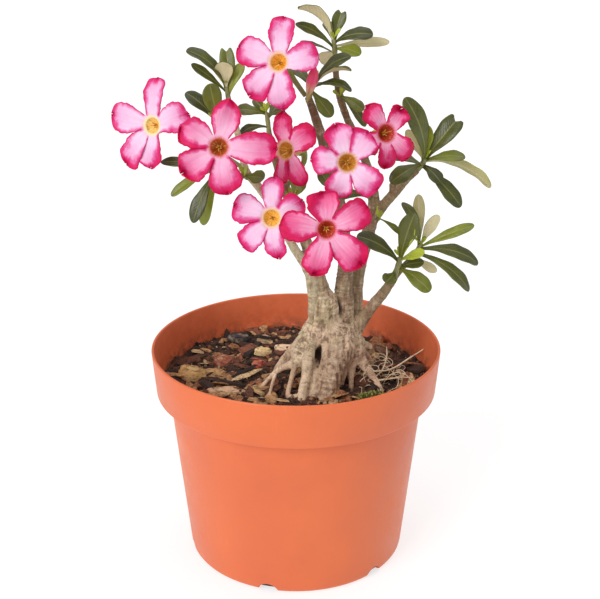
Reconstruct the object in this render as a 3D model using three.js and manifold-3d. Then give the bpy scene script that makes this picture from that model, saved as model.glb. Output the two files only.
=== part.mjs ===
// A desert rose (Adenium obesum) growing in a plastic nursery pot, in millimetres, with +Z up.
// The origin is the middle of the pot's underside. The flowers face the -Y side, the front.
// Every leaf and lobe is placed by its heading: turn is the compass angle in degrees from +X
// towards +Y, and rise is the angle above the horizontal.

import * as THREE from 'three';
import { mergeVertices } from 'three/addons/utils/BufferGeometryUtils.js';
import Module from 'manifold-3d';

const wasm = await Module();
wasm.setup();

// Driving dimensions

const gap = 0.3;              // clearance between two pieces that touch

const pot = {
  height: 145,
  rimRadius: 95,              // outside of the rim at the top
  rimFoot: 115.5,             // height of the rim band's lower edge
  rimFootRadius: 92.5,
  bodyTopRadius: 84.5,
  baseRadius: 73,
  wall: 1.8,
  floor: 2.5,
  corner: 4,                  // rounding of the bottom edge
  sides: 36,
};

const notch = { count: 6, width: 13.5, height: 6, inner: 64, outer: 80, first: -104.5 };

const soil = {
  level: 119.5,
  mound: 4,                   // rise of the soil towards the foot of the plant
  moundReach: 34,
  relief: 1.3,
  rings: [83, 70, 55, 40, 22, 0],
  sides: 26,
};

const caudex = { sides: 12, step: 9, flute: 0.08 };
const branchStep = 18;        // length of one facet along a branch
const rootStep = 12;

const blade = { thickness: 0.8, fold: 0.22, petiole: 0.2, widest: 0.68, taper: 1.15, sunk: 0.88, out: 0.6 };
const light = new THREE.Vector3(0, -0.6, 0.8);
const leafRows = [0, 0.34, 0.62, 0.85, 0.98];
const flatLeafRows = [0, 0.38, 0.7, 0.95];
const flatCurl = 45;          // a leaf that curls less than this needs fewer rows

const bloom = {
  mouth: 4.7,                 // radius of the hole in the ring of petals
  ring: 6.4,                  // radius at which the five lobes part
  thickness: 0.9,
  widest: 0.64,
  lobeRoom: 0.94,             // share of the way to its neighbour that a lobe may fill
  depths: [7, 13, 20],        // behind the petals: shoulder, end of the throat, first bend
  tubeRadii: [5.6, 4.7, 3.2, 2.3, 1.7, 1.4, 1.3],
  throatEnd: 1.4,             // radius at the bottom of the throat
};
const lobeRows = [0.26, 0.5, 0.72, 0.89, 1];

// Small shared helpers

const degrees = Math.PI / 180;

function point([x, y, z]) {
  return new THREE.Vector3(x, y, z);
}

// A repeatable wobble between -1 and 1 for any number and salt.
function wobble(number, salt = 0) {
  const wave = Math.sin(number * 12.9898 + salt * 78.233) * 43758.5453;
  return 2 * (wave - Math.floor(wave)) - 1;
}

function smooth(x) {
  const t = Math.min(1, Math.max(0, x));
  return t * t * (3 - 2 * t);
}

// Straight-line reading of a short list of values spread evenly from 0 to 1.
function along(values, t) {
  const place = Math.min(0.999999, Math.max(0, t)) * (values.length - 1);
  const left = Math.floor(place);
  return values[left] + (values[left + 1] - values[left]) * (place - left);
}

// The frame of a heading: its own direction, the side to its right and its upper side.
function headingFrame(turn, rise) {
  const flat = new THREE.Vector3(Math.cos(turn * degrees), Math.sin(turn * degrees), 0);
  const up = new THREE.Vector3(0, 0, 1);
  const ahead = flat.clone().multiplyScalar(Math.cos(rise * degrees))
    .addScaledVector(up, Math.sin(rise * degrees));
  const above = flat.clone().multiplyScalar(-Math.sin(rise * degrees))
    .addScaledVector(up, Math.cos(rise * degrees));
  return { ahead, above, side: ahead.clone().cross(above) };
}

function toSolid(geometry) {
  const bare = geometry.clone();
  bare.deleteAttribute('normal');
  bare.deleteAttribute('uv');
  const merged = mergeVertices(bare, 1e-4);
  const mesh = new wasm.Mesh({
    numProp: 3,
    vertProperties: Float32Array.from(merged.attributes.position.array),
    triVerts: Uint32Array.from(merged.index.array),
  });
  return new wasm.Manifold(mesh);
}

function toGeometry(solid) {
  const mesh = solid.getMesh();
  const geometry = new THREE.BufferGeometry();
  geometry.setAttribute('position', new THREE.BufferAttribute(mesh.vertProperties, 3));
  geometry.setIndex(new THREE.BufferAttribute(mesh.triVerts, 1));
  return geometry;
}

function join(solids) {
  return solids.reduce((whole, solid) => whole.add(solid));
}

// The one body that matters after a cut; what the cut leaves inside the wood is dropped.
function largest(solid) {
  const bodies = solid.decompose();
  return bodies.reduce((best, body) => (body.volume() > best.volume() ? body : best));
}

function solidFrom(positions, triangles) {
  const geometry = new THREE.BufferGeometry();
  geometry.setAttribute('position', new THREE.Float32BufferAttribute(positions.flat(), 3));
  geometry.setIndex(triangles.flat());
  return toSolid(geometry);
}

// A tube with closed ends: a cylinder bent along a curve, its radius read from a list.
// extra grows it all round, which gives the clearance that a neighbour is cut to.
function bentTube({ path, radii, sides = 7, step = branchStep, flute = 0 }, extra = 0) {
  const curve = new THREE.CatmullRomCurve3(path.map(point));
  const rings = Math.max(2, Math.round(curve.getLength() / step));
  const cylinder = new THREE.CylinderGeometry(1, 1, 1, sides, rings);
  const start = curve.getTangent(0);
  const hint = Math.abs(start.y) < 0.9 ? new THREE.Vector3(0, 1, 0) : new THREE.Vector3(1, 0, 0);
  const across = [start.clone().cross(hint).normalize()];
  for (let ring = 1; ring <= rings; ring += 1) {
    const tangent = curve.getTangent(ring / rings);
    const carried = across[ring - 1].clone();
    across.push(carried.addScaledVector(tangent, -carried.dot(tangent)).normalize());
  }
  const corners = cylinder.attributes.position;
  for (let i = 0; i < corners.count; i += 1) {
    const t = corners.getY(i) + 0.5;
    const ring = Math.round(t * rings);
    const tangent = curve.getTangent(t);
    const right = across[ring];
    const forward = tangent.clone().cross(right);
    const angle = Math.atan2(corners.getX(i), corners.getZ(i));
    const reach = Math.hypot(corners.getX(i), corners.getZ(i)) > 0.5 ? 1 : 0;
    const swell = 1 + flute * Math.cos(5 * angle + 1.2 * t) + flute * 0.5 * Math.cos(3 * angle);
    const radius = reach * (along(radii, t) * swell + extra);
    const place = curve.getPoint(t)
      .addScaledVector(right, radius * Math.cos(angle))
      .addScaledVector(forward, radius * Math.sin(angle));
    if (ring === 0) {
      place.addScaledVector(tangent, -extra);
    }
    if (ring === rings) {
      place.addScaledVector(tangent, extra);
    }
    corners.setXYZ(i, place.x, place.y, place.z);
  }
  return toSolid(cylinder);
}

// The pot: a thin turned wall with a stepped rim band and six drain notches at its foot

function potSolid() {
  const { height, rimRadius, rimFoot, rimFootRadius, bodyTopRadius, baseRadius, wall, corner } = pot;
  const outline = [new THREE.Vector2(0, 0)];
  for (let i = 0; i <= 2; i += 1) {
    const angle = (i / 2) * 90 * degrees;
    const out = baseRadius - corner + corner * Math.sin(angle);
    outline.push(new THREE.Vector2(out, corner * (1 - Math.cos(angle))));
  }
  outline.push(new THREE.Vector2(bodyTopRadius, rimFoot));
  outline.push(new THREE.Vector2(rimFootRadius, rimFoot));
  outline.push(new THREE.Vector2(rimRadius, height - 1));
  outline.push(new THREE.Vector2(rimRadius - wall / 2, height));
  outline.push(new THREE.Vector2(rimRadius - wall, height - 1));
  outline.push(new THREE.Vector2(rimFootRadius - wall, rimFoot + wall));
  outline.push(new THREE.Vector2(bodyTopRadius - wall, rimFoot + wall));
  outline.push(new THREE.Vector2(baseRadius - wall, pot.floor));
  outline.push(new THREE.Vector2(0, pot.floor));
  const turned = new THREE.LatheGeometry(outline, pot.sides).rotateX(90 * degrees);
  let solid = toSolid(turned);
  for (let i = 0; i < notch.count; i += 1) {
    solid = solid.subtract(notchSolid(notch.first + (i * 360) / notch.count));
  }
  return solid;
}

// One arch-shaped cutter lying along a radius.
function notchSolid(turn) {
  const half = notch.width / 2;
  const arch = new THREE.Shape();
  arch.moveTo(-half, -1);
  arch.lineTo(half, -1);
  arch.absellipse(0, 0, half, notch.height, 0, Math.PI, false);
  arch.closePath();
  const cutter = new THREE.ExtrudeGeometry(arch, {
    depth: notch.outer - notch.inner, bevelEnabled: false, curveSegments: 5,
  });
  cutter.translate(0, 0, notch.inner).rotateX(90 * degrees).rotateZ((turn + 90) * degrees);
  return toSolid(cutter);
}

// The soil: fills the pot and spreads over the ledge behind the rim band

const trunkFoot = { x: 20, y: -13 };

function soilHeight(x, y) {
  const away = Math.hypot(x - trunkFoot.x, y - trunkFoot.y);
  const mound = soil.mound * Math.exp(-((away / soil.moundReach) ** 2));
  const lumps = Math.sin(0.21 * x + 1.3) * Math.cos(0.17 * y - 0.6) + 0.6 * Math.sin(0.36 * x - 0.43 * y);
  return soil.level + mound + soil.relief * lumps;
}

function soilSolid() {
  const bodyTop = pot.bodyTopRadius - pot.wall - gap;
  const rimInside = pot.rimFootRadius - pot.wall - gap;
  const ledge = pot.rimFoot + pot.wall + gap;
  const outline = [
    new THREE.Vector2(0, pot.floor + gap),
    new THREE.Vector2(pot.baseRadius - pot.wall - gap, pot.floor + gap),
    new THREE.Vector2(bodyTop, ledge),
    new THREE.Vector2(rimInside, ledge),
  ];
  for (const radius of [rimInside, ...soil.rings]) {
    outline.push(new THREE.Vector2(radius, soil.level));
  }
  const body = new THREE.LatheGeometry(outline, soil.sides).rotateX(90 * degrees);
  const corners = body.attributes.position;
  for (let i = 0; i < corners.count; i += 1) {
    const x = corners.getX(i);
    const y = corners.getY(i);
    if (corners.getZ(i) > soil.level - 0.01) {
      corners.setZ(i, Math.hypot(x, y) < 0.01 ? soil.level : soilHeight(x, y));
    }
  }
  return toSolid(body);
}

// Bark chips: flat, uneven slabs lying tilted on the soil
// x and y place the middle, length and width its size, turn its heading, tilt and lean its lie.

const chips = [
  { x: -69, y: -1, length: 21, width: 16, height: 12, turn: 30, tilt: 24, lean: -14, colour: '#dcae70' },
  { x: -49, y: 24, length: 18, width: 13, height: 5, turn: -20, tilt: 10, lean: 10, colour: '#9c523a' },
  { x: -23, y: 40, length: 15, width: 11, height: 6, turn: 20, tilt: 12, lean: -6, colour: '#f0cf96' },
  { x: -6, y: 46, length: 19, width: 9, height: 5, turn: 4, tilt: 8, lean: 14, colour: '#f0caa6' },
  { x: -26, y: 20, length: 13, width: 9, height: 5, turn: 60, tilt: 12, lean: -6, colour: '#cc6550' },
  { x: -44, y: -24, length: 28, width: 11, height: 4, turn: 12, tilt: 6, lean: 10, colour: '#dbae8a' },
  { x: -42, y: 63, length: 19, width: 13, height: 5, turn: 25, tilt: 14, lean: 8, colour: '#3a3238' },
  { x: -22, y: 63, length: 13, width: 8, height: 5, turn: -12, tilt: 6, lean: 12, colour: '#c8a583' },
  { x: 60, y: 40, length: 20, width: 11, height: 4, turn: -50, tilt: 8, lean: 6, colour: '#6e4a37' },
  { x: 18, y: 66, length: 26, width: 12, height: 5, turn: 12, tilt: 8, lean: -6, colour: '#8b5a3d' },
  { x: 10, y: -66, length: 24, width: 12, height: 5, turn: -14, tilt: 6, lean: -6, colour: '#7a4b34' },
  { x: -49, y: -56, length: 20, width: 12, height: 5, turn: -40, tilt: 5, lean: 8, colour: '#9a6a4a' },
  { x: 56, y: -55, length: 17, width: 9, height: 5, turn: 40, tilt: 4, lean: -5, colour: '#5b3b2c' },
];

function chipSolid(chip, salt, extra = 0) {
  const outline = new THREE.Shape();
  const corners = 7;
  for (let i = 0; i < corners; i += 1) {
    const angle = (i / corners) * 2 * Math.PI;
    const reach = 1 + 0.16 * wobble(i, salt);
    const x = (chip.length / 2 + extra) * reach * Math.cos(angle);
    const y = (chip.width / 2 + extra) * reach * Math.sin(angle);
    if (i === 0) {
      outline.moveTo(x, y);
    } else {
      outline.lineTo(x, y);
    }
  }
  outline.closePath();
  const depth = chip.height + 2 * extra;
  const slab = new THREE.ExtrudeGeometry(outline, { depth, bevelEnabled: false });
  slab.translate(0, 0, -depth / 2);
  const holder = new THREE.Object3D();
  holder.rotation.set(chip.lean * degrees, chip.tilt * degrees, chip.turn * degrees, 'ZYX');
  holder.position.set(chip.x, chip.y, soilHeight(chip.x, chip.y) + chip.height * 0.2);
  holder.updateMatrix();
  return toSolid(slab.applyMatrix4(holder.matrix));
}

// A low cushion of moss against the roots.
const moss = { x: 48, y: -34, length: 22, width: 13, height: 6, turn: 25, colour: '#66752e' };

function mossSolid(extra = 0) {
  const cushion = new THREE.SphereGeometry(1, 9, 6).rotateX(90 * degrees);
  const corners = cushion.attributes.position;
  for (let i = 0; i < corners.count; i += 1) {
    const lump = 1 + 0.1 * Math.sin(4 * corners.getX(i) + 6 * corners.getY(i));
    corners.setX(i, corners.getX(i) * (moss.length / 2 + extra) * lump);
    corners.setY(i, corners.getY(i) * (moss.width / 2 + extra) * lump);
    corners.setZ(i, corners.getZ(i) * (moss.height / 2 + extra));
  }
  cushion.rotateZ(moss.turn * degrees).translate(moss.x, moss.y, soilHeight(moss.x, moss.y) + 0.6);
  return toSolid(cushion);
}

// The woody plant: swollen caudex, raised roots and bare branches, grown as one piece

const wood = [
  // caudex
  {
    path: [[19, -13, 104], [20, -12, 127], [21, -11, 143], [23, -9, 156], [27, -8, 168]],
    radii: [10, 12, 15, 17.5, 18.5, 16, 11],
    sides: caudex.sides, step: caudex.step, flute: caudex.flute,
  },
  // front-left pale branch
  {
    path: [[18, -11, 155], [12, -14, 170], [11, -16, 184], [8, -19, 201], [-2, -21, 220], [-13, -20, 241],
      [-22, -20, 256], [-30, -20, 267], [-33, -18, 281], [-36, -16, 293], [-39, -15, 302]],
    radii: [5, 3.6, 2.9, 2.6, 2.4, 2.2, 1.9],
  },
  // thick ringed branch
  {
    path: [[22, -10, 155], [19, -11, 170], [18, -12, 182], [13, -14, 201], [5, -16, 224], [-4, -14, 247],
      [-11, -10, 267], [-15, -7, 280], [-16, -6, 288]],
    radii: [8.5, 6, 4.6, 4, 3.2, 2.4, 1.9],
  },
  // brown middle branch
  {
    path: [[27, -7, 155], [31, -6, 170], [31, -5, 188], [32, -4, 203], [29, -2, 230], [24, 0, 258],
      [17, 0, 280], [12, -1, 296], [7, -2, 310]],
    radii: [9, 6.5, 5.2, 4.6, 3.8, 3, 2.4],
  },
  // back branch, up to the top of the plant
  {
    path: [[29, -2, 153], [37, 2, 167], [39, 6, 184], [42, 8, 200], [47, 10, 219], [50, 11, 236],
      [48, 14, 252], [41, 17, 273], [32, 17, 292], [26, 14, 312], [24, 12, 329]],
    radii: [8, 5.5, 4.6, 4.4, 3.6, 2.8, 2.4, 2.1],
  },
  // fork of the back branch to the right
  {
    path: [[47, 10, 222], [54, 9, 234], [62, 7, 245], [70, 5, 255], [77, 3, 263]],
    radii: [3.4, 3.2, 3, 2.7],
  },
  // broken stub on that fork
  { path: [[62, 7, 245], [61, 5, 250], [60, 4, 254]], radii: [2.8, 2.2, 1.8], sides: 6 },
  // low right branch
  {
    path: [[30, -7, 148], [39, -7, 158], [46, -10, 171], [56, -16, 187], [63, -20, 200]],
    radii: [8, 5.2, 4, 3.4, 2.8],
  },
  { path: [[57, -16, 189], [64, -16, 199], [70, -18, 208]], radii: [2.6, 2.2, 2], sides: 7 },
  // twigs that carry single leaves and the low left rosette
  { path: [[-28, -20, 264], [-36, -21, 264], [-43, -23, 264]], radii: [1.9, 1.7, 1.5], sides: 6 },
  // fat flanks under the branches and the column at the front
  {
    path: [[22, -10, 156], [19, -11, 168], [18, -12, 179], [15, -13, 190]],
    radii: [13, 10.8, 8.6, 5], sides: 8,
  },
  {
    path: [[16, -12, 163], [11, -15, 155], [7, -18, 148], [4, -20, 141], [3, -21, 136]],
    radii: [11, 9.6, 9, 8.4, 5], sides: 8,
  },
  {
    path: [[28, -9, 160], [34, -10, 152], [38, -12, 145], [40, -13, 138]],
    radii: [12, 10, 8, 5], sides: 8,
  },
  {
    path: [[25, -13, 162], [25, -17, 152], [25, -20, 143], [23, -24, 137], [20, -29, 127], [19, -31, 119],
      [18, -32, 108]],
    radii: [11, 10.6, 9.6, 8.8, 8, 8.4, 9], sides: 9,
  },
  // roots, front and left
  {
    path: [[16, -13, 160], [12, -21, 154], [9, -26, 148], [7.5, -29.5, 142], [6.5, -32, 135], [5, -35, 128],
      [4, -37, 120], [4, -38, 108]],
    radii: [6, 5, 4.2, 3.6, 3.3, 3.3, 3.6, 3.8], sides: 6, step: rootStep,
  },
  {
    path: [[13, -26, 141], [12, -28, 136], [11, -31, 128], [10, -33, 120], [10, -34, 108]],
    radii: [3.2, 3.6, 4, 4.2, 4.4], sides: 6, step: rootStep,
  },
  {
    path: [[6, -19, 144], [-1, -21, 140], [-8, -20.5, 136.5], [-13, -19.5, 133], [-17, -19, 128.5],
      [-22, -18.5, 122], [-25, -18, 112]],
    radii: [5, 3.4, 2, 1.8, 1.6, 1.5, 1.5], sides: 6, step: rootStep,
  },
  {
    path: [[-13, -20, 133], [-15, -25, 128], [-17, -31, 121], [-18, -33, 112]],
    radii: [1.5, 1.3, 1.2, 1.2], sides: 5, step: rootStep,
  },
  {
    path: [[2, -22, 142], [-1, -25, 137], [-3, -28, 131], [-5, -31, 124], [-5, -33, 121.5],
      [-1, -34.5, 122.5], [4, -35.5, 124]],
    radii: [3, 2, 1.7, 1.7, 1.9, 1.6, 1.6], sides: 6, step: 5,
  },
  // roots, right
  {
    path: [[40, -13, 141], [46, -15, 134], [50, -16, 128], [55, -20, 121], [57, -22, 112]],
    radii: [5, 3.4, 2.6, 2, 1.8], sides: 6, step: rootStep,
  },
  {
    path: [[36, -14, 143], [36.5, -17, 135], [36, -19, 127], [36, -21, 119], [36, -22, 110]],
    radii: [5, 2.6, 1.8, 1.7, 1.7], sides: 6, step: rootStep,
  },
  { path: [[38, -9, 150], [45, -9.5, 147], [51, -9, 145]], radii: [4, 3.2, 2.8], sides: 6 },
  // roots, back
  {
    path: [[30, 0, 150], [38, 10, 140], [46, 19, 128], [54, 27, 112]],
    radii: [8, 5.6, 4, 3], sides: 6,
  },
  {
    path: [[20, 2, 152], [19, 13, 141], [17, 23, 129], [16, 33, 112]],
    radii: [8.5, 6.4, 4.6, 3.4], sides: 6,
  },
  {
    path: [[11, -4, 151], [2, 2, 141], [-7, 6, 130], [-18, 8, 112]],
    radii: [7.5, 5.2, 3.8, 2.8], sides: 6,
  },
  // wiry surface roots
  {
    path: [[51, -18, 128], [57, -9, 130], [60, -3, 137], [60, 2, 142]],
    radii: [1.2, 1.1, 1, 0.8], sides: 5,
  },
  {
    path: [[48, -17, 132], [62, -11, 131], [75, -4, 136], [85, 0, 141]],
    radii: [1.2, 1.1, 1, 0.8], sides: 5,
  },
  {
    path: [[52, -18, 126], [62, -19, 128], [72, -15, 127], [80, -13, 124]],
    radii: [1.3, 1.2, 1, 0.8], sides: 5,
  },
];

function woodSolid(extra = 0) {
  return join(wood.map((limb) => bentTube(limb, extra)));
}

// Leaves: obovate blades with a folded midrib, each springing from a green shoot

function leafHalfWidth(t, width) {
  const widest = blade.widest;
  const half = width / 2;
  if (t > widest) {
    return half * Math.sqrt(Math.max(0, 1 - ((t - widest) / (1 - widest)) ** 2));
  }
  return half * (blade.petiole + (1 - blade.petiole) * smooth(t / widest) ** blade.taper);
}

// The upper side of a blade turns towards the light, which comes from the front and above.
function bladeFrame({ turn, rise, roll = 0 }) {
  const { ahead } = headingFrame(turn, rise);
  const above = light.clone().addScaledVector(ahead, -light.dot(ahead)).normalize()
    .applyAxisAngle(ahead, roll * degrees);
  return { ahead, above, side: ahead.clone().cross(above) };
}

// A point on a leaf: t runs from its foot to its tip, s from its left edge (-1) to its right (1).
// curl is the whole angle by which the blade bends down over its length.
function leafPoint(leaf, t, s) {
  const { turn, length, width, curl, fold = blade.fold } = leaf;
  const bend = (curl * degrees) / 2;
  const chord = bladeFrame(leaf);
  const arc = Math.abs(bend) > 0.01 ? length / (2 * Math.sin(bend)) : 1e6;
  const heading = bend * (1 - 2 * t);
  const forward = arc * (Math.sin(bend) - Math.sin(heading));
  const height = arc * (Math.cos(heading) - Math.cos(bend));
  const half = leafHalfWidth(t, width);
  const wave = 0.06 * half * Math.sin(9 * t + 2 * s + turn);
  const lift = fold * half * Math.abs(s) + wave * Math.abs(s);
  return chord.ahead.clone().multiplyScalar(forward - Math.sin(heading) * lift)
    .addScaledVector(chord.above, height + Math.cos(heading) * lift)
    .addScaledVector(chord.side, half * s);
}

// A thin slab over a grid of points: both faces are split alike, and the rim closes it.
function leafSolid(foot, leaf) {
  const columns = 3;
  const rows = leaf.curl < flatCurl ? flatLeafRows : leafRows;
  const positions = [];
  for (const t of rows) {
    const middle = leafPoint(leaf, t, 0);
    const slope = leafPoint(leaf, Math.min(1, t + 0.01), 0).sub(leafPoint(leaf, Math.max(0, t - 0.01), 0));
    const span = leafPoint(leaf, t, 1).sub(leafPoint(leaf, t, -1));
    const under = slope.cross(span).normalize().multiplyScalar(blade.thickness);
    for (let column = 0; column < columns; column += 1) {
      const top = column === 1 ? middle : leafPoint(leaf, t, column - 1);
      top.add(foot);
      const below = top.clone().add(under);
      positions.push(top.toArray(), below.toArray());
    }
  }
  return solidFrom(positions, slabTriangles(rows.length, columns));
}

// Triangles of a slab whose vertices come row by row, each as its upper and lower point.
function slabTriangles(rows, columns) {
  const triangles = [];
  const at = (row, column, lower) => 2 * (row * columns + column) + lower;
  const quad = (a, b, c, d) => triangles.push([a, b, c], [a, c, d]);
  for (let row = 0; row < rows - 1; row += 1) {
    for (let column = 0; column < columns - 1; column += 1) {
      quad(at(row, column, 0), at(row, column + 1, 0), at(row + 1, column + 1, 0), at(row + 1, column, 0));
      triangles.push([at(row, column, 1), at(row + 1, column + 1, 1), at(row, column + 1, 1)]);
      triangles.push([at(row, column, 1), at(row + 1, column, 1), at(row + 1, column + 1, 1)]);
    }
    const last = columns - 1;
    quad(at(row, 0, 0), at(row + 1, 0, 0), at(row + 1, 0, 1), at(row, 0, 1));
    quad(at(row, last, 0), at(row, last, 1), at(row + 1, last, 1), at(row + 1, last, 0));
  }
  for (let column = 0; column < columns - 1; column += 1) {
    const end = rows - 1;
    quad(at(0, column, 0), at(0, column, 1), at(0, column + 1, 1), at(0, column + 1, 0));
    quad(at(end, column, 0), at(end, column + 1, 0), at(end, column + 1, 1), at(end, column, 1));
  }
  return triangles;
}

const darkLeaf = '#3c4a1c';
const midLeaf = '#566426';

// Each shoot runs from inside its branch to its tip; at tells how far along it a leaf springs.
const shoots = [
  {
    name: 'leaves_top', colour: darkLeaf,
    shoot: [[24, 12, 326], [24, 11, 334], [23, 10, 342]], radii: [1.8, 1.5],
    leaves: [
      { at: 0.9, turn: -165, rise: 44, length: 31, width: 11, curl: 75, roll: 66, fold: 1 },
      { at: 1, turn: 42, rise: 70, length: 20, width: 8.5, curl: 25, fold: 0.35 },
      { at: 0.72, turn: -170, rise: 32, length: 28, width: 8.5, curl: 45, roll: 4, fold: 0.3 },
      { at: 0.5, turn: -164, rise: 20, length: 23, width: 5, curl: 30, roll: 21, fold: 0.3 },
      { at: 0.95, turn: -12, rise: 13, length: 24, width: 11, curl: 75, fold: 0.3 },
      { at: 0.8, turn: 10, rise: 2, length: 34, width: 6.5, curl: 25, roll: -121, fold: 0.2 },
      { at: 0.68, turn: -33, rise: -6, length: 18, width: 10.5, curl: 60, fold: 0.2 },
      { at: 0.6, turn: -161, rise: -37, length: 11, width: 8.5, curl: 20, roll: 138, fold: 0.15 },
      { at: 0.85, turn: 100, rise: 24, length: 26, width: 8.5, curl: 50 },
    ],
  },
  {
    name: 'leaves_upper_stem', colour: midLeaf,
    shoot: [[27.5, 15, 304], [28, 12, 306.5]], radii: [1.3, 1.2],
    leaves: [
      { at: 1, turn: -30, rise: -27, length: 17, width: 8.5, curl: 45, fold: 0.3 },
      { at: 1, turn: -11, rise: -50, length: 24, width: 7, curl: 30, fold: 0.3 },
      { at: 1, turn: 55, rise: -38, length: 18, width: 8, curl: 40 },
    ],
  },
  {
    name: 'leaves_middle', colour: darkLeaf,
    shoot: [[8, -2, 307], [9, -2, 312], [12, -2, 317]], radii: [2, 1.5],
    leaves: [
      { at: 1, turn: -10, rise: 39, length: 28, width: 10, curl: 70, roll: -16, fold: 0.4 },
      { at: 0.9, turn: -12, rise: 24, length: 25, width: 9.5, curl: 75, roll: -41, fold: 0.8 },
      { at: 0.75, turn: -14, rise: -2, length: 24, width: 9, curl: 85, roll: -19, fold: 0.45 },
      { at: 0.6, turn: -21, rise: -48, length: 20, width: 10.5, curl: 25, fold: 0.3 },
      { at: 0.8, turn: 120, rise: 24, length: 25, width: 9.5, curl: 50 },
      { at: 0.6, turn: 75, rise: 2, length: 22, width: 9.5, curl: 50 },
    ],
  },
  {
    name: 'leaves_upper_left', colour: midLeaf,
    shoot: [[-39, -15, 299], [-40, -13, 308], [-42, -10, 318]], radii: [1.7, 1.4],
    leaves: [
      { at: 1, turn: -173, rise: 45, length: 32, width: 10.5, curl: 75, roll: 20, fold: 0.5 },
      { at: 0.88, turn: -164, rise: 40, length: 27, width: 6.5, curl: 20 },
      { at: 1, turn: -111, rise: 74, length: 17, width: 11.5, curl: 20, roll: 168, fold: 0.15 },
      { at: 0.75, turn: 28, rise: 62, length: 21, width: 7.5, curl: 30 },
      { at: 0.8, turn: 100, rise: 75, length: 29, width: 9.5, curl: 20, fold: 0.35 },
    ],
  },
  {
    name: 'leaves_left', colour: darkLeaf,
    shoot: [[-36, -16, 292], [-42, -15, 294], [-49, -15, 297]], radii: [1.4, 1.2],
    leaves: [
      { at: 1, turn: 165, rise: 41, length: 25, width: 9.5, curl: 50, fold: 0.3 },
      { at: 0.85, turn: -142, rise: 76, length: 25, width: 12, curl: 25, fold: 0.15 },
      { at: 0.7, turn: 110, rise: 10, length: 24, width: 9.5, curl: 50 },
    ],
  },
  {
    name: 'leaves_centre_sprig', colour: midLeaf,
    shoot: [[-16, -6, 285], [-17, -5, 294], [-18, -4, 300]], radii: [1.6, 1.3],
    leaves: [
      { at: 1, turn: -171, rise: 11, length: 18, width: 9, curl: 45 },
      { at: 1, turn: 147, rise: 44, length: 12, width: 6.5, curl: 40 },
      { at: 0.85, turn: -28, rise: 22, length: 13, width: 6, curl: 40 },
      { at: 0.35, turn: -164, rise: -12, length: 18, width: 6.5, curl: 70, roll: 6, fold: 0.3 },
      { at: 0.7, turn: 70, rise: 15, length: 20, width: 8, curl: 50 },
    ],
  },
  {
    name: 'leaves_centre_left', colour: darkLeaf,
    shoot: [[-29, -21, 262], [-31, -24.5, 265]], radii: [1.3, 1.2],
    leaves: [
      { at: 1, turn: -27, rise: 2, length: 13, width: 10.5, curl: 30 },
    ],
  },
  {
    name: 'leaves_low_left', colour: midLeaf,
    shoot: [[-40, -23, 264], [-46, -24, 266], [-53, -26, 269]], radii: [1.4, 1.2],
    leaves: [
      { at: 1, turn: 174, rise: 9, length: 30, width: 8, curl: 40 },
      { at: 0.95, turn: -161, rise: -28, length: 28, width: 7, curl: 40 },
      { at: 0.75, turn: -139, rise: -58, length: 33, width: 9.5, curl: 35 },
      { at: 0.55, turn: -160, rise: -71, length: 33, width: 8.5, curl: 30 },
      { at: 0.85, turn: 115, rise: 8, length: 25, width: 9.5, curl: 50 },
    ],
  },
  {
    name: 'leaves_centre', colour: midLeaf,
    shoot: [[-4, -14, 247], [-1, -19, 250]], radii: [2, 1.3],
    leaves: [
      { at: 1, turn: -50, rise: 62, length: 18, width: 13, curl: 40 },
    ],
  },
  {
    name: 'leaves_centre_right', colour: darkLeaf,
    shoot: [[25, 0, 249], [23, -6, 250]], radii: [2, 1.3],
    leaves: [
      { at: 1, turn: -150, rise: 55, length: 18, width: 9.5, curl: 40 },
    ],
  },
  {
    name: 'leaves_back_stem', colour: darkLeaf,
    shoot: [[49, 11, 240], [45, 6, 244]], radii: [1.3, 1.2],
    leaves: [
      { at: 1, turn: -165, rise: 4, length: 26, width: 11.5, curl: 55 },
    ],
  },
  {
    name: 'leaves_fork', colour: midLeaf,
    shoot: [[50, 10, 228], [54, 5, 229]], radii: [2, 1.3],
    leaves: [
      { at: 1, turn: -12, rise: -35, length: 17, width: 4.5, curl: 40 },
    ],
  },
  {
    name: 'leaves_right', colour: darkLeaf,
    shoot: [[75, 4, 261], [79, 3, 265], [81, 2, 270]], radii: [2.1, 1.6],
    leaves: [
      { at: 0.85, turn: -145, rise: 68, length: 45, width: 13.5, curl: 70 },
      { at: 1, turn: 55, rise: 85, length: 21, width: 6.6, curl: 15, fold: 0.8 },
      { at: 1, turn: 13, rise: 51, length: 34, width: 14.5, curl: 35, fold: 0.3 },
      { at: 0.9, turn: -9, rise: 7, length: 25, width: 9, curl: 50 },
      { at: 0.8, turn: -3, rise: -21, length: 45, width: 12, curl: 75, roll: -79, fold: 0.4 },
      { at: 0.6, turn: -42, rise: -33, length: 17, width: 9, curl: 45 },
      { at: 0.5, turn: -11, rise: -45, length: 36, width: 11.5, curl: 35 },
      { at: 0.62, turn: -150, rise: -21, length: 25, width: 11.5, curl: 60 },
      { at: 0.95, turn: 180, rise: 60, length: 22, width: 6.5, curl: 30, roll: 146, fold: 0.15 },
      { at: 0.75, turn: 85, rise: 22, length: 32, width: 10.5, curl: 55 },
      { at: 0.55, turn: 135, rise: 2, length: 28, width: 10.5, curl: 50 },
    ],
  },
  {
    name: 'leaves_low_right', colour: darkLeaf,
    shoot: [[61, -19, 197], [64, -21, 206], [65, -22, 213]], radii: [2.2, 1.6],
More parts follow.
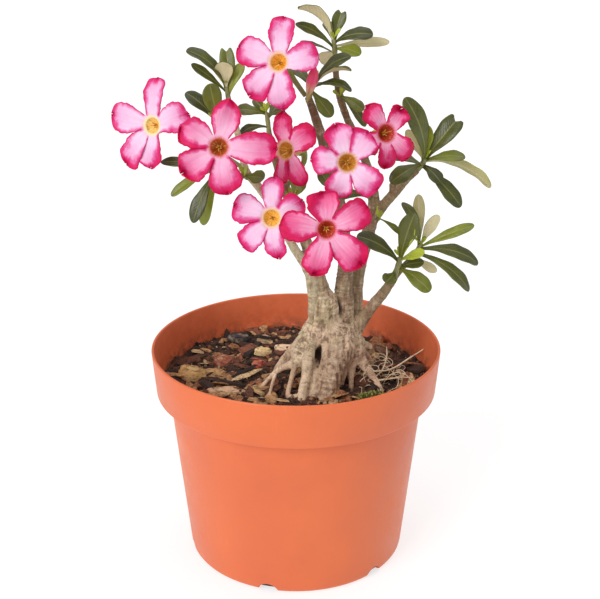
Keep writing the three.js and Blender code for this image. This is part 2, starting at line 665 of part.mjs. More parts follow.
    leaves: [
      { at: 0.85, turn: -172, rise: 33, length: 32, width: 13, curl: 45 },
      { at: 1, turn: -42, rise: 73, length: 33, width: 12.5, curl: 40, fold: 0.25 },
      { at: 1, turn: -48, rise: 65, length: 25, width: 6, curl: 20, fold: 0.3 },
      { at: 0.9, turn: -41, rise: 26, length: 20, width: 9, curl: 35 },
      { at: 0.5, turn: -32, rise: -27, length: 25, width: 11, curl: 40 },
      { at: 0.3, turn: -126, rise: -17, length: 12, width: 9.5, curl: 35 },
      { at: 0.5, turn: -21, rise: 18, length: 17, width: 8, curl: 30 },
    ],
  },
  {
    name: 'leaves_far_right', colour: midLeaf,
    shoot: [[68, -17, 205], [74, -19, 213], [78, -20, 221]], radii: [1.7, 1.4],
    leaves: [
      { at: 1, turn: 156, rise: 66, length: 29, width: 8, curl: 80, roll: 24, fold: 0.3 },
      { at: 1, turn: 27, rise: 54, length: 22, width: 7.5, curl: 20, roll: -150, fold: 0.15 },
      { at: 0.95, turn: -5, rise: 25, length: 36, width: 8, curl: 30 },
      { at: 0.85, turn: 6, rise: -16, length: 40, width: 12, curl: 60, roll: -7 },
      { at: 0.65, turn: -10, rise: -34, length: 41, width: 11, curl: 65, roll: -11, fold: 0.3 },
      { at: 0.45, turn: 0, rise: -33, length: 18, width: 6, curl: 20, roll: -132, fold: 0.15 },
      { at: 0.9, turn: 90, rise: 75, length: 33, width: 8, curl: 45, roll: 160, fold: 0.2 },
    ],
  },
];

function shootSolid({ shoot, radii, leaves }, woodClearance) {
  const stem = new THREE.CatmullRomCurve3(shoot.map(point));
  const parts = [bentTube({ path: shoot, radii, sides: 5, step: 9 })];
  for (const leaf of leaves) {
    const { ahead } = headingFrame(leaf.turn, 0);
    const foot = stem.getPoint(leaf.at * blade.sunk).addScaledVector(ahead, blade.out);
    parts.push(leafSolid(foot, leaf));
  }
  return largest(join(parts).subtract(woodClearance));
}

// Blooms: five wavy lobes on a ring, in front of a hollow tube on its stalk
// at is the middle of the ring, turn and rise its facing, and stalk the points from the tube's
// bend back to the branch. Each lobe has its angle anticlockwise from the right, its reach from
// the middle of the bloom and its width.

const blooms = [
  {
    at: [-85, -26, 296], turn: -118, rise: 10, stalk: [[-66, 1, 288], [-48, -6, 276], [-30, -19, 267]],
    lobes: [[87, 28, 12.5], [172, 30, 18], [233, 30, 16], [276, 25, 16], [20, 26, 18]],
  },
  {
    at: [-10, -24, 333], turn: -104, rise: 16, stalk: [[-2, 1, 320], [6, -2, 309]],
    lobes: [[86, 26, 15], [163, 26, 18], [231, 26, 18], [280, 27, 17], [12, 24, 17]],
  },
  {
    at: [-44, -52, 289], turn: -90, rise: 14, stalk: [[-41, -25, 284], [-34, -18, 284]],
    lobes: [[75, 28, 17], [150, 25, 18], [215, 26, 19], [281, 27, 19], [-2, 33, 19]],
  },
  {
    at: [-6, -30, 282], turn: -122, rise: 12, stalk: [[5, -10, 270], [-5, -13, 256]],
    lobes: [[101, 23, 13], [186, 19, 15], [272, 20, 11], [312, 24, 13], [37, 23, 16]],
  },
  {
    at: [30, -52, 280], turn: -90, rise: 12, stalk: [[29, -24, 274], [24, -1, 260]],
    lobes: [[107, 23, 16.5], [175, 21, 16], [250, 21, 16], [318, 23.5, 17.5], [53, 21, 18]],
  },
  {
    at: [54, -24, 291], turn: -72, rise: 14, stalk: [[47, 4, 280], [44, 16, 266]],
    lobes: [[125, 20, 14], [205, 18, 14], [264, 21, 11], [315, 21, 14], [50, 18, 13]],
  },
  {
    at: [-14, -53, 247], turn: -100, rise: 16, stalk: [[-9, -28, 237], [-7, -21, 229]],
    lobes: [[88, 24, 13], [163, 24, 18], [226, 24, 15], [279, 24, 13], [31, 21, 15]],
  },
  {
    at: [18, -66, 244], turn: -84, rise: 8, stalk: [[14, -38, 238], [6, -17, 222]],
    lobes: [[98, 22, 19], [172, 27, 18], [252, 28, 17], [314, 30, 19], [26, 27, 18]],
  },
];

const petalColour = '#ef5f9c';
const tubeColour = '#c9b04a';

function lobeHalfWidth(t, width) {
  const foot = bloom.ring * Math.sin(36 * degrees);
  const half = width / 2;
  if (t < bloom.widest) {
    return foot + (half - foot) * Math.sin((Math.PI / 2) * (t / bloom.widest)) ** 0.8;
  }
  return Math.max(0.9, half * (1 - ((t - bloom.widest) / (1 - bloom.widest)) ** 2.6));
}

// Height of a lobe's surface in front of the ring: it lifts a little, then curves back.
function lobeHeight(t, s, salt) {
  const sweep = 3.2 * Math.sin(t * 2.1) - 3.6 * t * t;
  const wave = 1.1 * t * Math.sin(7.5 * t + 2.6 * s + salt) * Math.abs(s);
  return sweep + wave + 0.9 * t * (s * s - 0.5);
}

function bloomFrame({ at, turn, rise }) {
  const { ahead, above, side } = headingFrame(turn, rise);
  return { centre: point(at), ahead, above, right: side.negate() };
}

// Ring and lobes as one slab: ten points round the hole, ten round the ring, three a row beyond.
function petalsSolid(flower, salt) {
  const frame = bloomFrame(flower);
  const positions = [];
  const triangles = [];
  const add = (across, up, height) => {
    const top = frame.centre.clone().addScaledVector(frame.right, across)
      .addScaledVector(frame.above, up).addScaledVector(frame.ahead, height);
    const below = top.clone().addScaledVector(frame.ahead, -bloom.thickness);
    positions.push(top.toArray(), below.toArray());
    return positions.length / 2 - 1;
  };
  const quad = (a, b, c, d) => {
    triangles.push([2 * a, 2 * b, 2 * c], [2 * a, 2 * c, 2 * d]);
    triangles.push([2 * a + 1, 2 * c + 1, 2 * b + 1], [2 * a + 1, 2 * d + 1, 2 * c + 1]);
  };
  const rim = (a, b) => {
    triangles.push([2 * a, 2 * b, 2 * b + 1], [2 * a, 2 * b + 1, 2 * a + 1]);
  };
  const lobes = [...flower.lobes].sort((a, b) => a[0] - b[0]);
  const angleOf = (spoke) => {
    const lobe = Math.floor(spoke / 2);
    const own = lobes[lobe % 5][0] + 360 * Math.floor(lobe / 5);
    if (spoke % 2 === 0) {
      return own;
    }
    const next = lobes[(lobe + 1) % 5][0] + 360 * Math.floor((lobe + 1) / 5);
    return (own + next) / 2;
  };
  const circle = (radius, height) => Array.from({ length: 10 }, (_, spoke) => {
    const angle = angleOf(spoke) * degrees;
    return add(radius * Math.cos(angle), radius * Math.sin(angle), height);
  });
  const hole = circle(bloom.mouth, 0);
  const ring = circle(bloom.ring, 0.5);
  for (let spoke = 0; spoke < 10; spoke += 1) {
    const next = (spoke + 1) % 10;
    quad(hole[spoke], ring[spoke], ring[next], hole[next]);
    rim(hole[spoke], hole[next]);
  }
  lobes.forEach(([angle, reach, width], index) => {
    let row = [ring[(2 * index + 9) % 10], ring[2 * index], ring[(2 * index + 1) % 10]];
    const out = [Math.cos(angle * degrees), Math.sin(angle * degrees)];
    for (const t of lobeRows) {
      const radius = bloom.ring + (reach - bloom.ring) * t;
      const next = [-1, 0, 1].map((s) => {
        const spread = Math.abs(angleOf(10 + 2 * index + s) - angleOf(10 + 2 * index)) * degrees;
        const room = bloom.lobeRoom * radius * Math.sin(spread);
        const sideways = s * Math.min(lobeHalfWidth(t, width), room);
        const height = 0.5 + lobeHeight(t, s, salt + index);
        return add(radius * out[0] - sideways * out[1], radius * out[1] + sideways * out[0], height);
      });
      quad(row[0], next[0], next[1], row[1]);
      quad(row[1], next[1], next[2], row[2]);
      rim(next[0], row[0]);
      rim(row[2], next[2]);
      row = next;
    }
    rim(row[1], row[0]);
    rim(row[2], row[1]);
  });
  return solidFrom(positions, triangles);
}

// The tube behind the petals with its open throat, and the stalk that carries it.
function tubeSolid(flower, woodClearance) {
  const { centre, ahead } = bloomFrame(flower);
  const behind = (distance) => centre.clone().addScaledVector(ahead, -distance).toArray();
  const mouth = bloom.thickness + gap;
  const throatDepth = bloom.depths[1];
  const path = [...[mouth, ...bloom.depths].map(behind), ...flower.stalk];
  const outside = bentTube({ path, radii: bloom.tubeRadii, sides: 7, step: 8 });
  const throat = new THREE.CylinderGeometry(bloom.mouth - 0.2, bloom.throatEnd, throatDepth, 7);
  const holder = new THREE.Object3D();
  holder.quaternion.setFromUnitVectors(new THREE.Vector3(0, 1, 0), ahead);
  holder.position.copy(centre).addScaledVector(ahead, -mouth + 0.5 - throatDepth / 2);
  holder.updateMatrix();
  const hollow = toSolid(throat.applyMatrix4(holder.matrix));
  return largest(outside.subtract(hollow).subtract(woodClearance));
}

const bud = {
  path: [[7, -2, 305], [8.5, -8, 313], [10, -12, 321], [11.5, -13, 329]],
  radii: [1, 1.3, 2.6, 3.4, 3, 0.8],
};

// Assembly

const plant = new THREE.Group();

function addNode(name, solid, colour, roughness, metalness = 0) {
  const material = new THREE.MeshStandardMaterial({ color: colour, roughness, metalness });
  const mesh = new THREE.Mesh(toGeometry(solid), material);
  mesh.name = name;
  plant.add(mesh);
}

const woodClearance = woodSolid(gap);
const chipClearance = join(chips.map((chip, index) => chipSolid(chip, index, gap)));

addNode('pot', potSolid(), '#e2764c', 0.5);
addNode(
  'soil',
  largest(soilSolid().subtract(woodClearance).subtract(chipClearance).subtract(mossSolid(gap))),
  '#33241c', 0.95,
);
chips.forEach((chip, index) => {
  addNode(`bark_chip_${index + 1}`, chipSolid(chip, index), chip.colour, 0.9);
});
addNode('moss', largest(mossSolid().subtract(woodClearance)), moss.colour, 0.95);
addNode('trunk', woodSolid(), '#a8916f', 0.8);
for (const shoot of shoots) {
  addNode(shoot.name, shootSolid(shoot, woodClearance), shoot.colour, 0.45);
}
blooms.forEach((flower, index) => {
  addNode(`flower_${index + 1}_petals`, petalsSolid(flower, index), petalColour, 0.6);
  addNode(`flower_${index + 1}_tube`, tubeSolid(flower, woodClearance), tubeColour, 0.6);
});
addNode('bud', largest(bentTube({ ...bud, sides: 8, step: 4 }).subtract(woodClearance)), '#d8466f', 0.6);

export default plant;
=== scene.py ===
# Desert rose in a nursery pot: petals, leaves, bark, soil and pot around the fixed frame.
# Lengths in the dictionaries and lists are millimetres, except the view's; mm turns them into metres.

import random
from math import atan2, cos, exp, floor, hypot, pi, radians, sin, sqrt

import bmesh
import bpy
from mathutils import Euler, Matrix, Quaternion, Vector, kdtree, noise


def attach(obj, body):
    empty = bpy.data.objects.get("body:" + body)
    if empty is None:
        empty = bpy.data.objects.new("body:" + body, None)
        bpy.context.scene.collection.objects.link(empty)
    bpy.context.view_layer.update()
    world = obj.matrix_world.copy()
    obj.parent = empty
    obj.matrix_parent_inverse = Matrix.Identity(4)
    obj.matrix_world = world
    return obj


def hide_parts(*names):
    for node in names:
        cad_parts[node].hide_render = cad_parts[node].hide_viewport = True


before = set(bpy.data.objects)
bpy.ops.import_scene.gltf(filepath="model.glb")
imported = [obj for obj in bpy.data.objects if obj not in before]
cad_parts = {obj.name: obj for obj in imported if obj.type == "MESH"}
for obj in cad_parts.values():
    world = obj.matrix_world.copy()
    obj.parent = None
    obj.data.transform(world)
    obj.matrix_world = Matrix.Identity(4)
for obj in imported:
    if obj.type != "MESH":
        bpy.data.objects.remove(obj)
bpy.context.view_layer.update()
scene = bpy.context.scene
mm = 0.001
print("frame loaded")


# node helpers: each draws into the node tree begun last

drawing = {"tree": None, "shader": None, "material": None}


def tint(code):
    # the linear colour of an sRGB hex code
    parts = [int(code[i:i + 2], 16) / 255 for i in (1, 3, 5)]
    return tuple(p / 12.92 if p <= 0.04045 else ((p + 0.055) / 1.055) ** 2.4 for p in parts) + (1.0,)


def startMaterial(name, roughness, settings=None):
    material = bpy.data.materials.new(name)
    material.use_nodes = True
    drawing["material"], drawing["tree"] = material, material.node_tree
    drawing["shader"] = material.node_tree.nodes["Principled BSDF"]
    for key, value in {"Roughness": roughness, **(settings or {})}.items():
        drawing["shader"].inputs[key].default_value = value
    return material


def finishMaterial(colour, bump=None, roughness=None):
    # bump is a height with its strength and its depth in metres
    wires = {"Base Color": colour}
    if roughness is not None:
        wires["Roughness"] = roughness
    if bump is not None:
        relief = dict(zip(("Height", "Strength", "Distance"), bump))
        wires["Normal"] = put("Bump", relief).outputs["Normal"]
    for key, value in wires.items():
        drawing["tree"].links.new(value, drawing["shader"].inputs[key])
    return drawing["material"]


def put(kind, inputs=None, **settings):
    made = drawing["tree"].nodes.new("ShaderNode" + kind)
    for key, value in settings.items():
        setattr(made, key, value)
    for key, value in (inputs or {}).items():
        if isinstance(value, bpy.types.NodeSocket):
            drawing["tree"].links.new(value, made.inputs[key])
        else:
            made.inputs[key].default_value = value
    return made


def place(scale=(1, 1, 1)):
    # object coordinates, stretched
    where = put("TexCoord").outputs["Object"]
    return put("Mapping", {"Vector": where, "Scale": scale}).outputs["Vector"]


def read(*names):
    # the values painted on the mesh under these names
    values = [put("Attribute", attribute_name=name).outputs["Fac"] for name in names]
    return values[0] if len(values) == 1 else values


def noisy(vector, scale, detail, rough=0.55):
    grain = {"Vector": vector, "Scale": scale, "Detail": detail, "Roughness": rough}
    return put("TexNoise", grain).outputs["Fac"]


def ramp(fac, stops):
    made = put("ValToRGB", {"Fac": fac})
    elements = made.color_ramp.elements
    while len(elements) < len(stops):
        elements.new(0.5)
    for element, (at, colour) in zip(elements, stops):
        element.position = at
        element.color = tint(colour) if isinstance(colour, str) else (colour, colour, colour, 1)
    return made.outputs["Color"]


def blend(fac, first, second):
    # from the first colour to the second; a hex code stands for its own tint
    first, second = [tint(c) if isinstance(c, str) else c for c in (first, second)]
    return put("Mix", {0: fac, 6: first, 7: second}, data_type="RGBA").outputs[2]


def calc(way, first, second=0.0, clamp=False):
    return put("Math", {0: first, 1: second}, operation=way, use_clamp=clamp).outputs[0]


def times(first, second, clamp=False):
    return calc("MULTIPLY", first, second, clamp)


def plus(first, second, clamp=False):
    return calc("ADD", first, second, clamp)


def minus(first, second, clamp=False):
    return calc("SUBTRACT", first, second, clamp)


def remap(value, low, high, outLow=0.0, outHigh=1.0):
    return put("MapRange", {"Value": value, "From Min": low, "From Max": high,
                            "To Min": outLow, "To Max": outHigh}).outputs["Result"]


def joined(x, y, z):
    return put("CombineXYZ", {0: x, 1: y, 2: z}).outputs[0]


# camera, floor and light: the view in metres and degrees

view = {"x": 0.00265, "y": -0.7005, "z": 0.4412, "down": 20.75, "lens": 69, "sensor": 36,
        "near": 0.01, "far": 50}
studio = {
    "floorSize": 40, "floor": "#a6a6a6", "floorGlow": 0.68, "world": "#ffffff", "worldStrength": 0.56,
    # where each soft light comes from, how wide it is in degrees and how strong
    "lamps": [
        ((-0.66, -0.76, 0.58), 34, 1.78),
        ((0.9, -0.8, 0.5), 60, 0.1),
        ((0.1, 0.1, 1), 50, 0.75),
    ],
}


def addToScene(name, data):
    holder = bpy.data.objects.new(name, data)
    scene.collection.objects.link(holder)
    return holder


def setCamera():
    lens = bpy.data.cameras.new("camera")
    lens.lens, lens.sensor_width = view["lens"], view["sensor"]
    lens.clip_start, lens.clip_end = view["near"], view["far"]
    camera = addToScene("camera", lens)
    camera.location = (view["x"], view["y"], view["z"])
    camera.rotation_euler = (radians(90 - view["down"]), 0, 0)
    scene.camera = camera


def layFloor():
    bm = bmesh.new()
    bmesh.ops.create_grid(bm, x_segments=1, y_segments=1, size=studio["floorSize"] / 2)
    ground = addToScene("floor", meshFrom(bm, "floor"))
    # a floor that glows a little keeps the ground near the pot as white as the rest
    glow = {"Base Color": tint(studio["floor"]), "Emission Color": tint("#ffffff"),
            "Emission Strength": studio["floorGlow"]}
    ground.data.materials.append(startMaterial("paleFloor", 0.9, glow))


def lightStudio():
    world = bpy.data.worlds.new("studio")
    world.use_nodes = True
    drawing["tree"] = world.node_tree
    sky = world.node_tree.nodes["Background"].inputs
    sky["Color"].default_value = tint(studio["world"])
    # the backdrop looks white, though it lights the plant less than that
    seen = put("LightPath").outputs["Is Camera Ray"]
    world.node_tree.links.new(calc("MAXIMUM", seen, studio["worldStrength"]), sky["Strength"])
    scene.world = world
    for source, spread, strength in studio["lamps"]:
        lamp = bpy.data.lights.new("softLight", "SUN")
        lamp.angle, lamp.energy = radians(spread), strength
        addToScene("softLight", lamp).rotation_euler = Vector(source).to_track_quat("Z", "Y").to_euler()
    scene.view_settings.view_transform = "Standard"


# shape helpers

def wobble(number, salt):
    # an even scatter from -1 to 1 that is the same every time
    wave = sin(number * 12.9898 + salt * 78.233) * 43758.5453
    return 2 * (wave - floor(wave)) - 1


def smooth(x):
    # an eased step from 0 to 1
    t = min(1, max(0, x))
    return t * t * (3 - 2 * t)


def along(values, t):
    # a row of values read from 0 to 1
    spot = min(0.999999, max(0, t)) * (len(values) - 1)
    left = int(spot)
    return values[left] + (values[left + 1] - values[left]) * (spot - left)


def curveThrough(points):
    # a centripetal Catmull-Rom curve, read from 0 to 1
    knots = [Vector(p) for p in points]
    knots = [2 * knots[0] - knots[1]] + knots + [2 * knots[-1] - knots[-2]]

    def at(t):
        spot = min(0.999999, max(0, t)) * (len(points) - 1)
        left = int(spot)
        w = spot - left
        a, b, c, d = knots[left:left + 4]
        before, own, after = [max(1e-4, (q - p).length ** 0.5) for p, q in ((a, b), (b, c), (c, d))]
        leave = ((b - a) / before - (c - a) / (before + own) + (c - b) / own) * own
        reach = ((c - b) / own - (d - b) / (own + after) + (d - c) / after) * own
        return (b + leave * w + (3 * (c - b) - 2 * leave - reach) * w * w
                + (2 * (b - c) + leave + reach) * w ** 3)
    return at


def curveLength(at, steps):
    return sum((at((i + 1) / steps) - at(i / steps)).length for i in range(steps))


def headingFrame(turn, rise):
    # the ways ahead, above and to the right of a heading given in degrees
    turn, rise = radians(turn), radians(rise)
    ahead = Vector((cos(rise) * cos(turn), cos(rise) * sin(turn), sin(rise)))
    above = Vector((-sin(rise) * cos(turn), -sin(rise) * sin(turn), cos(rise)))
    return ahead, above, ahead.cross(above)


def meshFrom(bm, name):
    mesh = bpy.data.meshes.new(name)
    bm.to_mesh(mesh)
    bm.free()
    return mesh


def bmeshFrom(mesh):
    bm = bmesh.new()
    bm.from_mesh(mesh)
    return bm


def bmeshWithUv():
    bm = bmesh.new()
    bm.loops.layers.uv.new("UVMap")
    return bm


def paintLayers(bm, *names):
    # a number on every vertex under each name, for the materials to read
    return [bm.verts.layers.float.new(name) for name in names]


def newest(elements, before):
    # the vertices or faces made since there were this many
    elements.ensure_lookup_table()
    return elements[before:]


def paint(verts, layer, value):
    for vert in verts:
        vert[layer] = value


def matrixOf(turns):
    # the matrix of turns about x, y and z, in radians
    return Euler(turns).to_matrix().to_4x4()


def stamp(whole, piece, lie):
    # adds a placed copy of a small bmesh to the whole and returns its vertices
    copy = bpy.data.meshes.new("copy")
    piece.to_mesh(copy)
    copy.transform(lie)
    before = len(whole.verts)
    whole.from_mesh(copy)
    bpy.data.meshes.remove(copy)
    return newest(whole.verts, before)


def spun(outline, facets):
    # an outline of radius and height turned about the middle
    bm = bmesh.new()
    verts = [bm.verts.new((r, 0, z)) for r, z in outline]
    edges = [bm.edges.new(pair) for pair in zip(verts, verts[1:])]
    bmesh.ops.spin(bm, geom=verts + edges, cent=(0, 0, 0), axis=(0, 0, 1), angle=2 * pi,
                   steps=facets, use_merge=True)
    bmesh.ops.remove_doubles(bm, verts=bm.verts, dist=0.01)
    bmesh.ops.recalc_face_normals(bm, faces=bm.faces)
    return bm


def wrapTube(bm, path, radius, around, step, shape=None, closed=True):
    # a flat grid rolled round a curve, with so many faces around and a row at each step;
    # radius(t) and shape(t, angle) say how wide it is
    at = curveThrough(path)
    rows = max(3, round(curveLength(at, 40) / step))
    tangents = [(at(min(1, i / rows + 0.004)) - at(max(0, i / rows - 0.004))).normalized()
                for i in range(rows + 1)]
    hint = Vector((0, 1, 0)) if abs(tangents[0].y) < 0.9 else Vector((1, 0, 0))
    across = [tangents[0].cross(hint).normalized()]
    for tangent in tangents[1:]:
        carried = across[-1] - tangent * across[-1].dot(tangent)
        across.append(carried.normalized())
    made = bmesh.ops.create_grid(bm, x_segments=around, y_segments=rows, size=0.5, calc_uvs=True)["verts"]
    for vert in made:
        angle, t = (vert.co.x + 0.5) * 2 * pi, vert.co.y + 0.5
        row = round(t * rows)
        right = across[row]
        forward = tangents[row].cross(right)
        wide = radius(t) * (shape(t, angle) if shape else 1)
        if closed and row in (0, rows):
            wide *= 0.02
        vert.co = at(t) + wide * (right * cos(angle) + forward * sin(angle))
    bmesh.ops.remove_doubles(bm, verts=made, dist=0.05)


def addPiece(name, bm, materials, nodes=(), flat=False):
    # finishes a bmesh drawn in millimetres as a piece that stands for its frame nodes
    bmesh.ops.scale(bm, vec=(mm, mm, mm), verts=bm.verts)
    for face in bm.faces:
        face.smooth = not flat
    piece = addToScene(name, meshFrom(bm, name))
    for material in materials:
        piece.data.materials.append(material)
    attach(piece, "root")
    if nodes:
        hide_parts(*nodes)
    return piece


def modified(mesh, *modifiers):
    # the mesh after a stack of modifiers, each given as its kind and settings
    holder = addToScene("holder", mesh)
    for kind, settings in modifiers:
        step = holder.modifiers.new(kind, kind)
        for key, value in settings.items():
            setattr(step, key, value)
    done = bpy.data.meshes.new_from_object(holder.evaluated_get(bpy.context.evaluated_depsgraph_get()))
    bpy.data.objects.remove(holder)
    return done


setCamera()
layFloor()
lightStudio()
print("camera, floor and light set")


# nursery pot: turned wall, stepped rim band, drain notches

pot = {
    "height": 145, "rimRadius": 95, "rimFoot": 115.5, "rimFootRadius": 92.5, "rimStep": 129,
    "rimStepRadius": 93.7, "bodyTop": 84.5, "base": 73, "wall": 1.8, "floor": 2.5, "innerFoot": 12,
    "corner": 4, "edge": 0.8, "facets": 128, "notches": 6, "notchWidth": 13.5, "notchHeight": 6,
    "notchInner": 64, "notchOuter": 90, "firstNotch": -104.5, "soilLine": 132, "soilFade": 14,
    "colour": "#da6a37", "shade": "#cf6236", "worn": "#e5875b", "inside": "#dd7045", "grime": "#6b3a26",
}


def plasticMaterial():
    startMaterial("orangePlastic", 0.4, {"Subsurface Weight": 0.06, "Subsurface Scale": 1.0,
                                         "Subsurface Radius": (0.006, 0.002, 0.001)})
    where, drawn = place(), place((1, 1, 0.12))
    isInner, isSoiled = read("inner", "soiled")
    outer = ramp(noisy(where, 14, 4), [(0.35, pot["shade"]), (0.65, pot["colour"])])
    scuffs = ramp(noisy(drawn, 420, 4, 0.7), [(0.6, 0), (0.78, 1)])
    patches = ramp(noisy(where, 26, 3), [(0.45, 0), (0.7, 1)])
    outer = blend(times(times(scuffs, patches), 0.35), outer, pot["worn"])
    mottle = ramp(noisy(where, 60, 5, 0.65), [(0.4, 0), (0.75, 1)])
    inner = blend(mottle, pot["inside"], pot["shade"])
    grimeSpots = ramp(noisy(where, 150, 6, 0.75), [(0.42, 0), (0.62, 1)])
    inner = blend(times(isSoiled, grimeSpots, clamp=True), inner, pot["grime"])
    rough = plus(remap(noisy(where, 55, 5, 0.7), 0.3, 0.7, 0.33, 0.5), times(isInner, 0.15))
    grain = plus(noisy(where, 1400, 2), noisy(drawn, 260, 3))
    return finishMaterial(blend(isInner, outer, inner), (grain, 0.12, 0.0004), rough)


def potOutline():
    base, corner, wall, foot = pot["base"], pot["corner"], pot["wall"], pot["rimFoot"]
    outline = [(0, 0)]
    for a in (0, 22, 45, 67, 90):
        outline.append((base - corner + corner * sin(radians(a)), corner * (1 - cos(radians(a)))))
    for t in (0.03, 0.25, 0.5, 0.75, 0.97):
        outline.append((base + (pot["bodyTop"] - base) * t, corner + (foot - corner) * t))
    rim = [(pot["bodyTop"], foot), (pot["rimFootRadius"], foot), (pot["rimStepRadius"], pot["rimStep"]),
           (pot["rimRadius"], pot["height"])]
    outline += rim
    # back down the inside, a wall's thickness away
    outline += [(r - wall, z + wall if z == foot else z) for r, z in reversed(rim)]
    return outline + [(base + 1 - wall, pot["innerFoot"]), (base - wall, pot["floor"]), (0, pot["floor"])]


def notchMesh():
    cutter = bmesh.new()
    long = pot["notchOuter"] - pot["notchInner"]
    squash = Matrix.Diagonal((pot["notchHeight"], pot["notchWidth"] / 2, 1, 1))
    for i in range(pot["notches"]):
        turn = radians(pot["firstNotch"] + 360 * i / pot["notches"])
        lie = (Matrix.Rotation(turn, 4, "Z") @ Matrix.Translation((pot["notchInner"] + long / 2, 0, 0))
               @ Matrix.Rotation(pi / 2, 4, "Y"))
        bmesh.ops.create_cone(cutter, cap_ends=True, segments=28, radius1=1, radius2=1, depth=long,
                              matrix=lie @ squash)
    return meshFrom(cutter, "notches")


def makePot():
    bm = spun(potOutline(), pot["facets"])
    sharp = [e for e in bm.edges if e.is_manifold and e.calc_face_angle() > radians(40)
             and abs(e.verts[0].co.z - e.verts[1].co.z) < 0.01]
    bmesh.ops.bevel(bm, geom=sharp, offset=pot["edge"], offset_type="OFFSET", affect="EDGES",
                    segments=3, profile=0.5, material=-1, clamp_overlap=True)
    arches = addToScene("notches", notchMesh())
    cut = modified(meshFrom(bm, "potWall"),
                   ("BOOLEAN", {"object": arches, "operation": "DIFFERENCE", "solver": "EXACT"}))
    bpy.data.objects.remove(arches)

    bm = bmeshFrom(cut)
    inner, soiled = paintLayers(bm, "inner", "soiled")
    for vert in bm.verts:
        r, z = hypot(vert.co.x, vert.co.y), vert.co.z
        if z < pot["rimFoot"]:
            low, high, start, end = 0, pot["rimFoot"], pot["base"], pot["bodyTop"]
        else:
            low, high, start, end = pot["rimFoot"], pot["height"], pot["rimFootRadius"], pot["rimRadius"]
        skin = start + (end - start) * (z - low) / (high - low)
        vert[inner] = 1.0 if r < skin - pot["wall"] * 0.7 and z > pot["corner"] else 0.0
        vert[soiled] = smooth((pot["soilLine"] - z) / pot["soilFade"]) * vert[inner]
    piece = addPiece("nursery_pot", bm, [plasticMaterial()], ["pot"])
    piece.data.set_sharp_from_angle(angle=radians(35))


makePot()
print("pot turned and notched")


# soil, crumbs and litter; the bed hangs over the ledge behind the rim band and fills the pot below

soil = {"level": 119.5, "mound": 4, "moundReach": 34, "relief": 1.3, "trunkX": 20, "trunkY": -13,
        "trunkClear": 13, "radius": 90.2, "lowest": 118.2, "bandFoot": 117.9, "ledge": 117.8,
        "ledgeRadius": 82.3, "foot": 3.0, "footRadius": 70.8, "rings": 72, "facets": 200}
crumbs = {"count": 2200, "reach": 89, "small": 0.5, "spread": 1.9, "sunk": 0.25, "ragged": 0.18}
flakes = {"count": 560, "reach": 85, "small": 1.8, "spread": 7.5, "thinPast": 30, "thinned": 0.55}
fibres = {"count": 130, "reach": 80, "edge": 86, "knots": 4}


def soilHeight(x, y):
    away = hypot(x - soil["trunkX"], y - soil["trunkY"])
    mound = soil["mound"] * exp(-((away / soil["moundReach"]) ** 2))
    lumps = sin(0.21 * x + 1.3) * cos(0.17 * y - 0.6) + 0.6 * sin(0.36 * x - 0.43 * y)
    return soil["level"] + mound + soil["relief"] * lumps


def soilTop(x, y):
    # the soil as it looks, with its clods
    clods = noise.fractal((x / 9, y / 9, 0), 0.9, 2.1, 4) * 1.3
    grit = noise.noise((x / 1.9, y / 1.9, 3)) * 0.5
    return soilHeight(x, y) + clods + grit


def earthMaterial():
    startMaterial("earth", 0.95)
    where = place()
    patches = noisy(where, 90, 6, 0.7)
    grit = noisy(where, 700, 5, 0.7)
    base = ramp(patches, [(0.3, "#1d120e"), (0.5, "#382319"), (0.62, "#563727"), (0.78, "#785538")])
    base = blend(ramp(grit, [(0.55, 0), (0.75, 1)]), base, "#8a6a4c")
    base = blend(ramp(grit, [(0.25, 1), (0.42, 0)]), base, "#0c0706")
    return finishMaterial(base, (grit, 0.9, 0.0008))


def crumbMaterial():
    startMaterial("crumbs", 0.92)
    base = ramp(read("shade"), [(0.0, "#1e1411"), (0.3, "#432a21"), (0.55, "#6c422e"), (0.72, "#7c3d2a"),
                                (0.86, "#a67a55"), (1.0, "#d9b88e")])
    grit = noisy(place(), 900, 4, 0.65)
    return finishMaterial(blend(times(grit, 0.55), base, "#0f0a08"), (grit, 0.8, 0.0005))


def inSoil(rng, reach):
    # a random place on the soil, clear of the swollen trunk
    while True:
        x, y = rng.uniform(-reach, reach), rng.uniform(-reach, reach)
        if hypot(x, y) < reach and hypot(x - soil["trunkX"], y - soil["trunkY"]) > soil["trunkClear"]:
            return x, y


def anywhere(rng, low, high):
    return [rng.uniform(low, high) for axis in range(3)]


def makeSoil():
    # rings that draw together towards the rim
    steps = [soil["radius"] * (1 - (1 - i / soil["rings"]) ** 1.15) for i in range(soil["rings"] + 1)]
    under = [(soil["radius"], soil["bandFoot"]), (soil["ledgeRadius"], soil["ledge"]),
             (soil["footRadius"], soil["foot"]), (0, soil["foot"])]
    bm = spun([(r, soil["level"]) for r in steps] + under, soil["facets"])
    for vert in bm.verts:
        if vert.co.z > soil["level"] - 0.5:
            vert.co.z = max(soil["lowest"], soilTop(vert.co.x, vert.co.y))
    addPiece("soil_bed", bm, [earthMaterial()], ["soil"])


